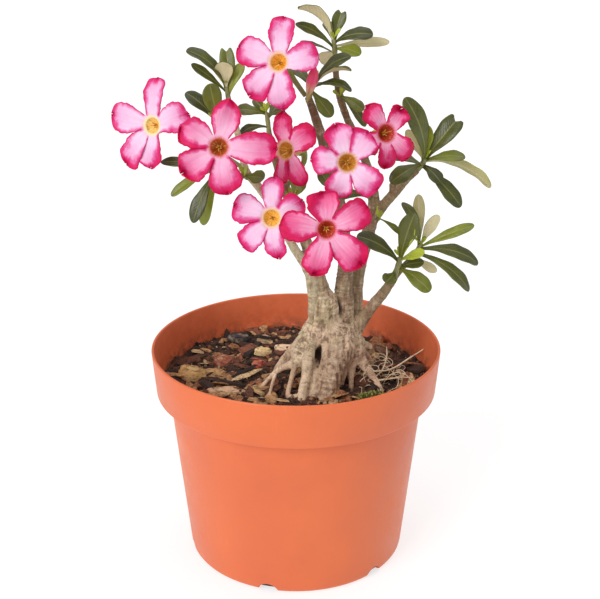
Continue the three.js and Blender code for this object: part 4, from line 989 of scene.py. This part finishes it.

# each leaf's tone is partly its own green and partly painted light and shade
foliage = {
    "leaves_top": {
        "path": [(24, 12, 326), (24, 11, 334), (23, 10, 342)], "radii": [1.8, 1.5],
        "leaves": [
            (0.9, -165, 44, 31, 11, 75, 66, 0.15, 1),
            (1, 42, 70, 20, 8.5, 25, 0, 0.18, 0.35),
            (0.72, -170, 32, 28, 8.5, 45, 4, 0.1, 0.3),
            (0.5, -164, 20, 23, 5, 30, 21, 0.12, 0.3),
            (0.95, -12, 13, 24, 11, 75, 0, 0.02, 0.3),
            (0.8, 10, 2, 34, 6.5, 25, -121, 0.3, 0.2),
            (0.68, -33, -6, 18, 10.5, 60, 0, 0.45, 0.2),
            (0.6, -161, -37, 11, 8.5, 20, 138, 0, 0.15),
            (0.85, 100, 24, 26, 8.5, 50, 0, 0.15, 0.22),
        ],
    },
    "leaves_upper_stem": {
        "path": [(27.5, 15, 304), (28, 12, 306.5)], "radii": [1.3, 1.2],
        "leaves": [
            (1, -30, -27, 17, 8.5, 45, 0, 0.3, 0.3),
            (1, -11, -50, 24, 7, 30, 0, 0.15, 0.3),
            (1, 55, -38, 18, 8, 40, 0, 0.2, 0.22),
        ],
    },
    "leaves_middle": {
        "path": [(8, -2, 307), (9, -2, 312), (12, -2, 317)], "radii": [2, 1.5],
        "leaves": [
            (1, -10, 39, 28, 10, 70, -16, 0.05, 0.4),
            (0.9, -12, 24, 25, 9.5, 75, -41, 0.3, 0.8),
            (0.75, -14, -2, 24, 9, 85, -19, 0.1, 0.45),
            (0.6, -21, -48, 20, 10.5, 25, 0, 0.28, 0.3),
            (0.8, 120, 24, 25, 9.5, 50, 0, 0.15, 0.22),
            (0.6, 75, 2, 22, 9.5, 50, 0, 0.15, 0.22),
        ],
    },
    "leaves_upper_left": {
        "path": [(-39, -15, 299), (-40, -13, 308), (-42, -10, 318)], "radii": [1.7, 1.4],
        "leaves": [
            (1, -173, 45, 32, 10.5, 75, 20, 0.1, 0.5),
            (0.88, -164, 40, 27, 6.5, 20, 0, 0.12, 0.22),
            (1, -111, 74, 17, 11.5, 20, 168, 0, 0.15),
            (0.75, 28, 62, 21, 7.5, 30, 0, 0.5, 0.22),
            (0.8, 100, 75, 29, 9.5, 20, 0, 0.32, 0.35),
        ],
    },
    "leaves_left": {
        "path": [(-36, -16, 292), (-42, -15, 294), (-49, -15, 297)], "radii": [1.4, 1.2],
        "leaves": [
            (1, 165, 41, 25, 9.5, 50, 0, 0, 0.3),
            (0.85, -142, 76, 25, 12, 25, 0, 0.3, 0.15),
            (0.7, 110, 10, 24, 9.5, 50, 0, 0.15, 0.22),
        ],
    },
    "leaves_centre_sprig": {
        "path": [(-16, -6, 285), (-17, -5, 294), (-18, -4, 300)], "radii": [1.6, 1.3],
        "leaves": [
            (1, -171, 11, 18, 9, 45, 0, 0.2, 0.22),
            (1, 147, 44, 12, 6.5, 40, 0, 0.15, 0.22),
            (0.85, -28, 22, 13, 6, 40, 0, 0.15, 0.22),
            (0.35, -164, -12, 18, 6.5, 70, 6, 0.02, 0.3),
            (0.7, 70, 15, 20, 8, 50, 0, 0.15, 0.22),
        ],
    },
    "leaves_centre_left": {
        "path": [(-29, -21, 262), (-31, -24.5, 265)], "radii": [1.3, 1.2],
        "leaves": [
            (1, -27, 2, 13, 10.5, 30, 0, 0.3, 0.22),
        ],
    },
    "leaves_low_left": {
        "path": [(-40, -23, 264), (-46, -24, 266), (-53, -26, 269)], "radii": [1.4, 1.2],
        "leaves": [
            (1, 174, 9, 30, 8, 40, 0, 0.05, 0.22),
            (0.95, -161, -28, 28, 7, 40, 0, 0.4, 0.22),
            (0.75, -139, -58, 33, 9.5, 35, 0, 0.03, 0.22),
            (0.55, -160, -71, 33, 8.5, 30, 0, 0.55, 0.22),
            (0.85, 115, 8, 25, 9.5, 50, 0, 0.15, 0.22),
        ],
    },
    "leaves_centre": {
        "path": [(-4, -14, 247), (-1, -19, 250)], "radii": [2, 1.3],
        "leaves": [
            (1, -50, 62, 18, 13, 40, 0, 0.5, 0.22),
        ],
    },
    "leaves_centre_right": {
        "path": [(25, 0, 249), (23, -6, 250)], "radii": [2, 1.3],
        "leaves": [
            (1, -150, 55, 18, 9.5, 40, 0, 0.2, 0.22),
        ],
    },
    "leaves_back_stem": {
        "path": [(49, 11, 240), (45, 6, 244)], "radii": [1.3, 1.2],
        "leaves": [
            (1, -165, 4, 26, 11.5, 55, 0, 0.12, 0.22),
        ],
    },
    "leaves_fork": {
        "path": [(50, 10, 228), (54, 5, 229)], "radii": [2, 1.3],
        "leaves": [
            (1, -12, -35, 17, 4.5, 40, 0, 0.3, 0.22),
        ],
    },
    "leaves_right": {
        "path": [(75, 4, 261), (79, 3, 265), (81, 2, 270)], "radii": [2.1, 1.6],
        "leaves": [
            (0.85, -145, 68, 45, 13.5, 70, 0, 0.15, 0.22),
            (1, 55, 85, 21, 6.6, 15, 0, 0.6, 0.8),
            (1, 13, 51, 34, 14.5, 35, 0, 0.12, 0.3),
            (0.9, -9, 7, 25, 9, 50, 0, 0.32, 0.22),
            (0.8, -3, -21, 45, 12, 75, -79, 0.75, 0.4),
            (0.6, -42, -33, 17, 9, 45, 0, 0.02, 0.22),
            (0.5, -11, -45, 36, 11.5, 35, 0, 0.08, 0.22),
            (0.62, -150, -21, 25, 11.5, 60, 0, 0.15, 0.22),
            (0.95, 180, 60, 22, 6.5, 30, 146, 0.5, 0.15),
            (0.75, 85, 22, 32, 10.5, 55, 0, 0.15, 0.22),
            (0.55, 135, 2, 28, 10.5, 50, 0, 0.15, 0.22),
        ],
    },
    "leaves_low_right": {
        "path": [(61, -19, 197), (64, -21, 206), (65, -22, 213)], "radii": [2.2, 1.6],
        "leaves": [
            (0.85, -172, 33, 32, 13, 45, 0, 0.06, 0.22),
            (1, -42, 73, 33, 12.5, 40, 0, 0.22, 0.25),
            (1, -48, 65, 25, 6, 20, 0, 0.9, 0.3),
            (0.9, -41, 26, 20, 9, 35, 0, 0.95, 0.22),
            (0.5, -32, -27, 25, 11, 40, 0, 0.35, 0.22),
            (0.3, -126, -17, 12, 9.5, 35, 0, 0.25, 0.22),
            (0.5, -21, 18, 17, 8, 30, 0, 0.15, 0.22),
        ],
    },
    "leaves_far_right": {
        "path": [(68, -17, 205), (74, -19, 213), (78, -20, 221)], "radii": [1.7, 1.4],
        "leaves": [
            (1, 156, 66, 29, 8, 80, 24, 0.15, 0.3),
            (1, 27, 54, 22, 7.5, 20, -150, 0, 0.15),
            (0.95, -5, 25, 36, 8, 30, 0, 0.4, 0.22),
            (0.85, 6, -16, 40, 12, 60, -7, 0.1, 0.22),
            (0.65, -10, -34, 41, 11, 65, -11, 0.15, 0.3),
            (0.45, 0, -33, 18, 6, 20, -132, 0, 0.15),
            (0.9, 90, 75, 33, 8, 45, 160, 0.6, 0.2),
        ],
    },
}

# leaves with a notch in the tip, by their node and heading
notchedLeaves = [("leaves_top", 42), ("leaves_right", 13), ("leaves_upper_left", 100)]


def acrossAndUp():
    # a leaf's or petal's own map: across it from 0 to 1, and up it from foot 0 to tip 1
    halves = put("SeparateXYZ", {0: put("UVMap", uv_map="UVMap").outputs[0]}).outputs
    return halves[0], halves[1]


def fromRib(across):
    # how far from the middle rib, 1 at the edge
    return times(calc("ABSOLUTE", minus(across, 0.5)), 2.0)


def veins(side, up, count, slant):
    phase = minus(times(up, count), times(side, slant))
    wave = calc("SINE", times(phase, 2 * pi))
    return calc("POWER", plus(times(wave, 0.5), 0.5), 6.0)


def leafTopMaterial():
    startMaterial("leafTop", 0.34, {"Specular IOR Level": 0.5})
    across, up = acrossAndUp()
    side = fromRib(across)
    speckle = noisy(place(), 160, 4, 0.6)
    # a leaf's tone is partly its own green and partly painted light and shade, set to how lit the leaf looks
    tone = plus(read("tone"), times(minus(speckle, 0.5), 0.35))
    tone = plus(tone, times(minus(0.3, up), 0.16))
    base = ramp(tone, [(i / 4, code) for i, code in enumerate(leafColours["tone"])])
    lines = veins(side, up, 13.0, 2.6)
    base = blend(times(lines, 0.08), base, leafColours["vein"])
    rib = remap(side, 0.0, remap(up, 0, 1, 0.16, 0.06), 1.0, 0.0)
    base = blend(times(rib, 0.5, clamp=True), base, leafColours["rib"])
    base = blend(times(remap(side, 0.93, 1.0), 0.3), base, leafColours["margin"])
    height = minus(minus(times(speckle, 0.35), times(lines, 0.4)), rib)
    return finishMaterial(base, (height, 0.35, 0.0004), remap(speckle, 0.3, 0.7, 0.26, 0.4))


def leafUnderMaterial():
    startMaterial("leafUnderside", 0.58)
    across, up = acrossAndUp()
    side = fromRib(across)
    speckle = noisy(place(), 200, 4, 0.6)
    # on the underside a higher tone turns it greener and darker, partly as painted shade
    greenish = plus(times(read("tone"), 0.9), times(speckle, 0.3))
    base = blend(remap(greenish, 0.3, 1.0), leafColours["under"], leafColours["underGreen"])
    lines = veins(side, up, 13.0, 2.6)
    base = blend(times(lines, 0.2), base, leafColours["underVein"])
    rib = remap(side, 0.0, 0.14, 1.0, 0.0)
    base = blend(times(rib, 0.6, clamp=True), base, leafColours["underRib"])
    height = plus(times(speckle, 0.3), plus(lines, rib))
    return finishMaterial(base, (height, 0.4, 0.0004))


def shootMaterial():
    startMaterial("greenShoot", 0.55)
    where = place()
    patches = noisy(where, 240, 5, 0.65)
    base = ramp(patches, [(0.3, leafColours["scar"]), (0.45, leafColours["stem"]), (0.7, "#9a9a62")])
    return finishMaterial(base, (noisy(where, 900, 4), 0.5, 0.0004))


shootLook = shootMaterial()
foliageLooks = [leafTopMaterial(), leafUnderMaterial(), shootLook]


def leafHalfWidth(t, width):
    half, widest = width / 2, blade["widest"]
    if t > widest:
        return half * sqrt(max(0, 1 - ((t - widest) / (1 - widest)) ** 2))
    return half * (blade["petiole"] + (1 - blade["petiole"]) * smooth(t / widest) ** blade["taper"])


def addLeaf(bm, foot, leaf, toneOf, rng, notched=False):
    turn, rise, length, width, curl, roll, tone, fold = leaf[1:]
    ahead = headingFrame(turn, rise)[0]
    light = Vector(blade["light"])
    above = (light - light.dot(ahead) * ahead).normalized()
    above.rotate(Quaternion(ahead, radians(roll)))
    side = ahead.cross(above)
    bend = radians(curl) / 2
    arc = length / (2 * sin(bend))
    sway = rng.uniform(-0.035, 0.035) * length
    twist = rng.uniform(-0.12, 0.12)
    salt = rng.uniform(0, 6)
    end = blade["notchedEnd"] if notched else 1.0
    made = bmesh.ops.create_grid(bm, x_segments=blade["across"], y_segments=blade["rows"], size=0.5,
                                 calc_uvs=True)["verts"]
    for vert in made:
        s, row = 2 * vert.co.x, vert.co.y + 0.5
        t = end * (1 - (1 - row) ** 1.7)
        if notched:
            t -= blade["notchDepth"] * max(0, 1 - abs(s) * 1.6) * smooth((t - 0.7) / 0.23)
        heading = bend * (1 - 2 * t)
        forward = arc * (sin(bend) - sin(heading))
        height = arc * (cos(heading) - cos(bend))
        half = leafHalfWidth(t, width) * (1 + 0.03 * sin(11 * t + salt))
        edge = abs(s)
        lift = half * (fold * edge * (1 - 0.25 * edge) - blade["revolute"] * edge ** 4)
        lift += 0.06 * half * sin(9 * t + 2 * s + turn) * edge + 0.05 * half * sin(23 * t + salt) * edge ** 3
        lift += twist * half * s * t
        vert.co = (foot + ahead * (forward - sin(heading) * lift) + above * (height + cos(heading) * lift)
                   + side * (half * s + sway * sin(pi * t * 0.9)))
        vert[toneOf] = tone
    bmesh.ops.remove_doubles(bm, verts=made, dist=0.02)


def makeFoliage(node, shoot):
    rng = random.Random(node)
    blades = bmeshWithUv()
    toneOf = paintLayers(blades, "tone")[0]
    at = curveThrough(shoot["path"])
    for leaf in shoot["leaves"]:
        foot = at(leaf[0] * blade["topmost"]) + headingFrame(leaf[1], 0)[0] * blade["standOff"]
        addLeaf(blades, foot, leaf, toneOf, rng, (node, leaf[1]) in notchedLeaves)
    # young leaves at the growing tip
    foot = at(1) - (at(1) - at(0.85)).normalized() * shootTip["sunk"]
    for i in range(shootTip["young"]):
        turn = 360 * i / shootTip["young"] + rng.uniform(0, shootTip["spread"])
        rise, length, width = [rng.uniform(*shootTip[key]) for key in ("rise", "length", "width")]
        young = (1, turn, rise, length, width, 30, 0, rng.uniform(0.75, 1), 0.3)
        addLeaf(blades, foot, young, toneOf, rng)
    flat = meshFrom(blades, "blades")
    for material in foliageLooks:
        flat.materials.append(material)
    bm = bmeshFrom(modified(flat, ("SOLIDIFY", {"thickness": blade["thickness"], "offset": -1.0,
                                                "material_offset": 1, "material_offset_rim": 0})))
    before = len(bm.faces)
    wrapTube(bm, shoot["path"], lambda t: along(shoot["radii"], t), 9, 1.2,
             lambda t, a: 1 + 0.08 * sin(14 * t + 2 * a))
    for face in newest(bm.faces, before):
        face.material_index = foliageLooks.index(shootLook)
    addPiece(node.replace("leaves", "foliage"), bm, foliageLooks, [node])


for node, shoot in foliage.items():
    makeFoliage(node, shoot)
print("leaves unfolded")


# blooms: the middle of the ring, its facing and the stalk behind it; deep is how dark the pink
# is, heart how brown the throat is, and folds how much the lobes buckle
# a lobe: angle anticlockwise from the right, reach, width, bluntness of its tip, sideways lean
# of the tip, and the side on which its dark margin is broad

bloom = {"mouth": 4.7, "ring": 6.4, "ringRows": 0.12, "widest": 0.64, "across": 16, "rows": 26,
         "thickness": 0.45, "ruffle": 0.35}
tube = {"back": [1.2, 4, 7, 10, 13, 20], "radii": [5.6, 5.2, 4.7, 4.0, 3.2, 2.3, 1.7, 1.4, 1.3],
        "fade": 34, "throat": 7.5, "throatRim": 4.75, "throatTaper": 3.2, "sepals": 17.5}
petalColours = {
    "pale": ["#eac6dd", "#e6b0d0", "#e194bd", "#d86ca0", "#cf2d72", "#d20d59", "#c9034a"],
    "deep": ["#f3c2d7", "#e99bbb", "#df6b97", "#d4417a", "#c71c5a", "#c90a4f", "#bb0442"],
    "foot": ["#f7e0a4", "#f0bd82", "#efb98a", "#cf9254", "#c6573f", "#c23a40"],
    "heart": ["#ffd67c", "#ffc541", "#fbb437", "#c98420", "#bb5a1c", "#c4401f"],
    "rim": "#ac0a4c", "darkHair": "#9a5a1c", "paleHair": "#ffe9a8",
}
# where the pink colours stand along a petal's flush, and the yellow ones from a pale to a dark heart
petalStops = [0.0, 0.2, 0.4, 0.58, 0.76, 0.9, 1.0]
heartStops = [0.0, 0.15, 0.3, 0.5, 0.8, 1.0]

blooms = [
    {"at": (-85, -26, 296), "turn": -118, "rise": 10,
     "stalk": [(-66, 1, 288), (-48, -6, 276), (-30, -19, 267)], "deep": 0.0, "heart": 0.0, "folds": 0.6,
     "lobes": [(87, 28, 12.5, 7, 0, 0), (172, 30, 18, 2.3, 0, 0.2), (233, 30, 16, 5, 1, 0),
               (276, 25, 16, 2.4, -2.5, 0.9), (20, 26, 18, 4.5, 0, -0.3)]},
    {"at": (-10, -24, 333), "turn": -104, "rise": 16, "stalk": [(-2, 1, 320), (6, -2, 309)],
     "deep": 0.05, "heart": 0.3, "folds": 0.6,
     "lobes": [(86, 26, 15, 5, 0, 0.1), (163, 26, 18, 2.5, 0, 0.6), (231, 26, 18, 3.4, 0, 0),
               (280, 27, 17, 3, 0.5, 0.8), (12, 24, 17, 3, 0.5, 0.7)]},
    {"at": (-44, -52, 289), "turn": -90, "rise": 14, "stalk": [(-41, -25, 284), (-34, -18, 284)],
     "deep": 0.7, "heart": 0.8, "folds": 2.0,
     "lobes": [(75, 28, 17, 1.1, 0.5, 0.3), (150, 25, 18, 2.2, 0.5, 0.4), (215, 26, 19, 2.4, 0, 0.1),
               (281, 27, 19, 3.4, 0.5, 0.4), (-2, 33, 19, 3, 0, 0.2)]},
    {"at": (-6, -30, 282), "turn": -122, "rise": 12, "stalk": [(5, -10, 270), (-5, -13, 256)],
     "deep": 1.3, "heart": 0.45, "folds": 1.5,
     "lobes": [(101, 23, 13, 1.6, 0, 0), (186, 19, 15, 2.5, 0, 0), (272, 20, 11, 2.2, 0, 0.3),
               (312, 24, 13, 2.2, 0, -0.4), (37, 23, 16, 2.4, 0, 0)]},
    {"at": (30, -52, 280), "turn": -90, "rise": 12, "stalk": [(29, -24, 274), (24, -1, 260)],
     "deep": 0.1, "heart": 0.5, "folds": 0.8,
     "lobes": [(107, 23, 16.5, 3, 0.5, 0.7), (175, 21, 16, 2.4, 0, 0), (250, 21, 16, 2.8, 0, 0),
               (318, 23.5, 17.5, 3.4, 0, 0.5), (53, 21, 18, 3, 0.5, 0.5)]},
    {"at": (54, -24, 291), "turn": -72, "rise": 14, "stalk": [(47, 4, 280), (44, 16, 266)],
     "deep": 1.2, "heart": 1.0, "folds": 1.6,
     "lobes": [(125, 20, 14, 2.2, 0, 0.5), (205, 18, 14, 2.5, 0, 0), (264, 21, 11, 2.5, 0, 0),
               (315, 21, 14, 3, 0, 0.2), (50, 18, 13, 4, 0, 0.3)]},
    {"at": (-14, -53, 247), "turn": -100, "rise": 16, "stalk": [(-9, -28, 237), (-7, -21, 229)],
     "deep": 0.0, "heart": 0.12, "folds": 0.8,
     "lobes": [(88, 24, 13, 2.6, 0.5, -0.4), (163, 24, 18, 3.2, 0.5, 0.5), (226, 24, 15, 4.5, 0, 0),
               (279, 24, 13, 1.8, 1.5, 0), (31, 21, 15, 3, 0, 0.4)]},
    {"at": (18, -66, 244), "turn": -84, "rise": 8, "stalk": [(14, -38, 238), (6, -17, 222)],
     "deep": 1.0, "heart": 1.0, "folds": 2.0,
     "lobes": [(98, 22, 19, 6, 0, 1.0), (172, 27, 18, 2.6, 0, 0.6), (252, 28, 17, 2.4, -0.5, 0),
               (314, 30, 19, 3, 0, 0.6), (26, 27, 18, 5, 0, -0.2)]},
]


def bloomFrame(flower):
    ahead, above, side = headingFrame(flower["turn"], flower["rise"])
    return Vector(flower["at"]), ahead, above, -side


def petalMaterial():
    startMaterial("petal", 0.5, {"Subsurface Weight": 0.12, "Subsurface Scale": 1.0,
                                 "Subsurface Radius": (0.003, 0.0012, 0.0014), "Specular IOR Level": 0.2})
    across, up = acrossAndUp()
    edge, out, deep, heart, stain = read("edge", "out", "deep", "heart", "stain")
    streaks = noisy(joined(times(across, 14.0), up, deep), 1.0, 3, 0.6)
    cloud = noisy(place(), 95, 4, 0.6)
    # the coloured margin is narrow along the sides, wide at the tip and uneven all round
    band = times(remap(up, 0.25, 1.0, 2.0, 9.0), remap(cloud, 0.36, 0.64, 0.55, 1.6))
    margin = minus(1.0, calc("DIVIDE", edge, times(band, stain)), clamp=True)
    colour = times(calc("POWER", margin, 0.8), 0.9)
    flush = plus(times(deep, 0.14), 0.5)
    colour = calc("MAXIMUM", colour, times(calc("POWER", up, 1.4), flush))
    wander = plus(minus(streaks, 0.5), minus(cloud, 0.5))
    colour = plus(colour, times(wander, 0.32))
    colour = plus(colour, times(deep, 0.13), clamp=True)
    pale, dark = [ramp(colour, list(zip(petalStops, petalColours[key]))) for key in ("pale", "deep")]
    base = blend(deep, pale, dark)
    base = blend(remap(edge, 0.0, 0.4, 0.5, 0.0), base, petalColours["rim"])
    foot = ramp(heart, list(zip(heartStops, petalColours["foot"])))
    halo = plus(out, times(minus(streaks, 0.5), 3.0))
    base = blend(remap(halo, 4.9, 6.9, 1.0, 0.0), base, foot)
    return finishMaterial(base, (streaks, 0.4, 0.0006))


def throatMaterial():
    startMaterial("throat", 0.5)
    back, heart, turn = read("back", "heart", "turn")
    rim, deepest = [ramp(heart, list(zip(heartStops, petalColours[key]))) for key in ("foot", "heart")]
    base = blend(remap(back, 0.0, 0.55), rim, deepest)
    hairs = noisy(joined(times(turn, 5.0), back, heart), 1.0, 2, 0.5)
    base = blend(remap(hairs, 0.5, 0.62, 0.0, 0.5), base, petalColours["darkHair"])
    base = blend(remap(hairs, 0.44, 0.34, 0.0, 0.4), base, petalColours["paleHair"])
    return finishMaterial(base)


def tubeMaterial():
    startMaterial("flowerTube", 0.5)
    where = place()
    mottle = times(minus(noisy(where, 260, 4), 0.5), 0.25)
    base = ramp(plus(read("back"), mottle), [(0.0, "#e2678a"), (0.12, "#e79a6a"), (0.28, "#dcb354"),
                                             (0.45, "#bfae4c"), (0.62, "#8f9a45"), (1.0, "#7d7a4a")])
    return finishMaterial(base, (noisy(where, 800, 3), 0.3, 0.0003))


def silkMaterial():
    startMaterial("antherSilk", 0.6)
    base = ramp(noisy(place(), 1200, 3), [(0.35, "#a9651e"), (0.55, "#e3b14a"), (0.75, "#f6e3a0")])
    return finishMaterial(base)


petalLook = petalMaterial()
tubeLooks = [tubeMaterial(), throatMaterial(), silkMaterial(), shootLook]


def lobeHalfWidth(t, width, blunt):
    foot, half, widest = bloom["ring"] * sin(radians(36)), width / 2, bloom["widest"]
    if t < widest:
        return foot + (half - foot) * sin(pi / 2 * t / widest) ** 0.6
    return max(0.3, half * (1 - ((t - widest) / (1 - widest)) ** blunt) ** 0.58)


def lobeHeight(t, s, salt, folds):
    sweep = 3.2 * sin(t * 2.1) - 3.6 * t * t
    wave = 1.1 * t * sin(7.5 * t + 2.6 * s + salt) * abs(s)
    ruffle = bloom["ruffle"] * t * sin(21 * t + 4 * s + 3 * salt) * abs(s) ** 3
    buckle = folds * t * (0.8 * sin(3.4 * s + 2.2 * salt) + 0.5 * sin(5 * t + 3 * s + salt))
    # each lobe laps over its neighbour on one side
    lap = 0.55 * s * sin(pi * min(1, t / 0.75)) ** 0.5 if t < 0.75 else 0
    return sweep + wave + ruffle + buckle + lap + 0.9 * t * (s * s - 0.5) - 0.35 * t * exp(-30 * s * s)


def lobeFlat(lobe, gaps, t, s, salt):
    # a lobe's point on the face of the bloom, before its height
    angle, reach, width, blunt, lean = lobe[:5]
    turn = radians(angle)
    out, leftward = Vector((cos(turn), sin(turn))), Vector((-sin(turn), cos(turn)))
    ragged = 1 + 0.03 * sin(13 * t + salt) + 0.025 * sin(31 * t + 2 * salt) + 0.012 * sin(67 * t + salt)
    tip = 1 + (0.025 * sin(6 * s + salt) + 0.015 * sin(17 * s + salt)) * smooth((t - 0.6) / 0.3)
    half = lobeHalfWidth(t, width, blunt) * ragged
    radius = bloom["ring"] + (reach - bloom["ring"]) * t * tip
    gap = radians(gaps[0] if s < 0 else gaps[1])
    room = 1.12 * radius * sin(gap) + 0.5
    free = out * radius + leftward * (s * min(half, room) + lean * t * t)
    ring = Vector((cos(turn + s * gap), sin(turn + s * gap))) * bloom["ring"]
    return ring.lerp(free, smooth(t / 0.2))


def lobeMargin(lobe, gaps, salt):
    # the outline of a lobe, to measure how far a point lies from it
    outline = [lobeFlat(lobe, gaps, 0.1 + 0.9 * i / 40, s, salt) for s in (-1, 1) for i in range(41)]
    outline += [lobeFlat(lobe, gaps, 1, -1 + i / 5, salt) for i in range(11)]
    margin = kdtree.KDTree(len(outline))
    for i, spot in enumerate(outline):
        margin.insert((spot.x, spot.y, 0), i)
    margin.balance()
    return margin


def makePetals(index, flower):
    middle, ahead, above, right = bloomFrame(flower)
    bm = bmeshWithUv()
    edgeOf, outOf, deepOf, heartOf, stainOf = paintLayers(bm, "edge", "out", "deep", "heart", "stain")
    lobes = sorted(flower["lobes"])
    mouth = bloom["mouth"] - 0.3
    for number, lobe in enumerate(lobes):
        salt = index + number
        before, after = lobes[number - 1][0], lobes[(number + 1) % 5][0]
        gaps = (((lobe[0] - before) % 360) / 2, ((after - lobe[0]) % 360) / 2)
        margin = lobeMargin(lobe, gaps, salt)
        made = bmesh.ops.create_grid(bm, x_segments=bloom["across"], y_segments=bloom["rows"], size=0.5,
                                     calc_uvs=True)["verts"]
        for vert in made:
            s, row = -2 * vert.co.x, vert.co.y + 0.5
            if row < bloom["ringRows"]:
                # the part of the ring that belongs to this lobe
                step = row / bloom["ringRows"]
                fan = radians(lobe[0] + s * (gaps[0] if s < 0 else gaps[1]))
                spot = Vector((cos(fan), sin(fan))) * (mouth + (bloom["ring"] - mouth) * step)
                height = 0.5 - 1.2 * (1 - step) ** 2
            else:
                t = 1 - ((1 - row) / (1 - bloom["ringRows"])) ** 1.25
                spot = lobeFlat(lobe, gaps, t, s, salt)
                height = 0.5 + lobeHeight(t, s, salt, flower["folds"])
            vert[edgeOf] = margin.find((spot.x, spot.y, 0))[2]
            vert[outOf] = spot.length
            vert[deepOf], vert[heartOf] = flower["deep"], flower["heart"]
            vert[stainOf] = max(0.3, 1 + lobe[5] * s)
            vert.co = middle + right * spot.x + above * spot.y + ahead * height
    bmesh.ops.remove_doubles(bm, verts=bm.verts, dist=0.02)
    solid = modified(meshFrom(bm, "corolla"), ("SOLIDIFY", {"thickness": bloom["thickness"], "offset": -1.0}))
    addPiece(f"petals_{index + 1}", bmeshFrom(solid), [petalLook], [f"flower_{index + 1}_petals"])


def makeTube(index, flower):
    rng = random.Random(40 + index)
    middle, ahead, above, right = bloomFrame(flower)
    bm = bmeshWithUv()
    backOf, heartOf, turnOf = paintLayers(bm, "back", "heart", "turn")

    def outward(angle):
        return right * cos(angle) + above * sin(angle)

    def mark(counts, material, back):
        # for what was made since the counts: which look it has, and how far back it lies
        for vert in newest(bm.verts, counts[0]):
            vert[backOf], vert[heartOf] = back(vert.co), flower["heart"]
        for face in newest(bm.faces, counts[1]):
            face.material_index = material

    # outside of the tube and its stalk
    path = [middle - ahead * d for d in tube["back"]] + [Vector(p) for p in flower["stalk"]]
    wrapTube(bm, path, lambda t: along(tube["radii"][:len(path)], t), 20, 1.6,
             lambda t, a: 1 + 0.05 * cos(5 * a) * (1 - t), closed=False)
    mark((0, 0), 0, lambda co: min(1, (co - middle).length / tube["fade"]))
    # inside of the throat, a funnel on five ridges
    counts = len(bm.verts), len(bm.faces)
    deepness = tube["throat"] * (0.5 + 0.3 * flower["heart"])
    made = bmesh.ops.create_grid(bm, x_segments=40, y_segments=12, size=0.5)["verts"]
    for vert in made:
        angle, t = (vert.co.x + 0.5) * 2 * pi, vert.co.y + 0.5
        radius = (tube["throatRim"] - tube["throatTaper"] * t ** 1.6) * (1 + 0.05 * cos(5 * angle) * (1 - t))
        if t > 0.99:
            radius = 0.02
        vert[turnOf] = angle
        vert.co = middle + outward(angle) * radius - ahead * (0.8 + deepness * t)
    mark(counts, 1, lambda co: min(1, (middle - co).dot(ahead) / deepness))
    bmesh.ops.remove_doubles(bm, verts=made, dist=0.02)
    # silky tips of the five anthers, standing in the throat
    for i in range(5):
        counts = len(bm.verts), len(bm.faces)
        out = outward(radians(flower["lobes"][0][0] + 36 + 72 * i))
        lean = rng.uniform(-0.25, 0.25)
        turned = out * cos(lean) + ahead.cross(out) * sin(lean)
        path = [middle - ahead * 6.5 + out * 0.4, middle - ahead * 4 + out * 0.7,
                middle - ahead * 2.2 + turned * 1.2, middle - ahead * 0.8 + turned * rng.uniform(1.8, 3.0)]
        wrapTube(bm, path, lambda t: 0.5 * (1 - t) + 0.12, 6, 1.2)
        mark(counts, 2, lambda co: 0.5)
    # small green sepals where the tube narrows into its stalk
    foot = middle - ahead * tube["sepals"]
    for i in range(5):
        counts = len(bm.verts), len(bm.faces)
        out = outward(radians(72 * i + 20))
        path = [foot + ahead * up + out * wide for up, wide in ((-1.5, 1.6), (1.5, 3.0), (5.5, 3.7))]
        wrapTube(bm, path, lambda t: 1.0 * (1 - t) + 0.15, 6, 1.2)
        mark(counts, 3, lambda co: 0.5)
    addPiece(f"flower_throat_{index + 1}", bm, tubeLooks, [f"flower_{index + 1}_tube"])


for index, flower in enumerate(blooms):
    makePetals(index, flower)
    makeTube(index, flower)
print("blooms opened")


# the closed bud, twisted like a furled umbrella

bud = {"path": [(7, -2, 305), (8.5, -8, 313), (10, -12, 321), (11.5, -13, 329)],
       "radii": [1, 1.3, 2.6, 3.4, 3, 0.8], "twist": 7, "pleats": 0.09}


def budMaterial():
    startMaterial("furledBud", 0.5)
    up, swirl = read("up", "swirl")
    base = ramp(up, [(0.0, "#9aa050"), (0.3, "#c4b877"), (0.46, "#e3b596"), (0.62, "#e8527a"),
                     (1.0, "#da1248")])
    return finishMaterial(blend(remap(calc("SINE", swirl), 0.2, 1.0, 0.0, 0.5), base, "#b31a55"))


def makeBud():
    bm = bmeshWithUv()
    upOf, swirlOf = paintLayers(bm, "up", "swirl")
    twist = bud["twist"]
    wrapTube(bm, bud["path"], lambda t: along(bud["radii"], t), 30, 0.6,
             lambda t, a: 1 + bud["pleats"] * sin(5 * a + twist * t))
    at = curveThrough(bud["path"])
    spots = [(at(i / 40), i / 40) for i in range(41)]
    for vert in bm.verts:
        middle, up = min(spots, key=lambda spot: (spot[0] - vert.co).length)
        out = vert.co - middle
        vert[upOf] = up
        vert[swirlOf] = 5 * atan2(out.x, out.y) + twist * up
    addPiece("flower_bud", bm, [budMaterial()], ["bud"])


makeBud()
print("bud furled")
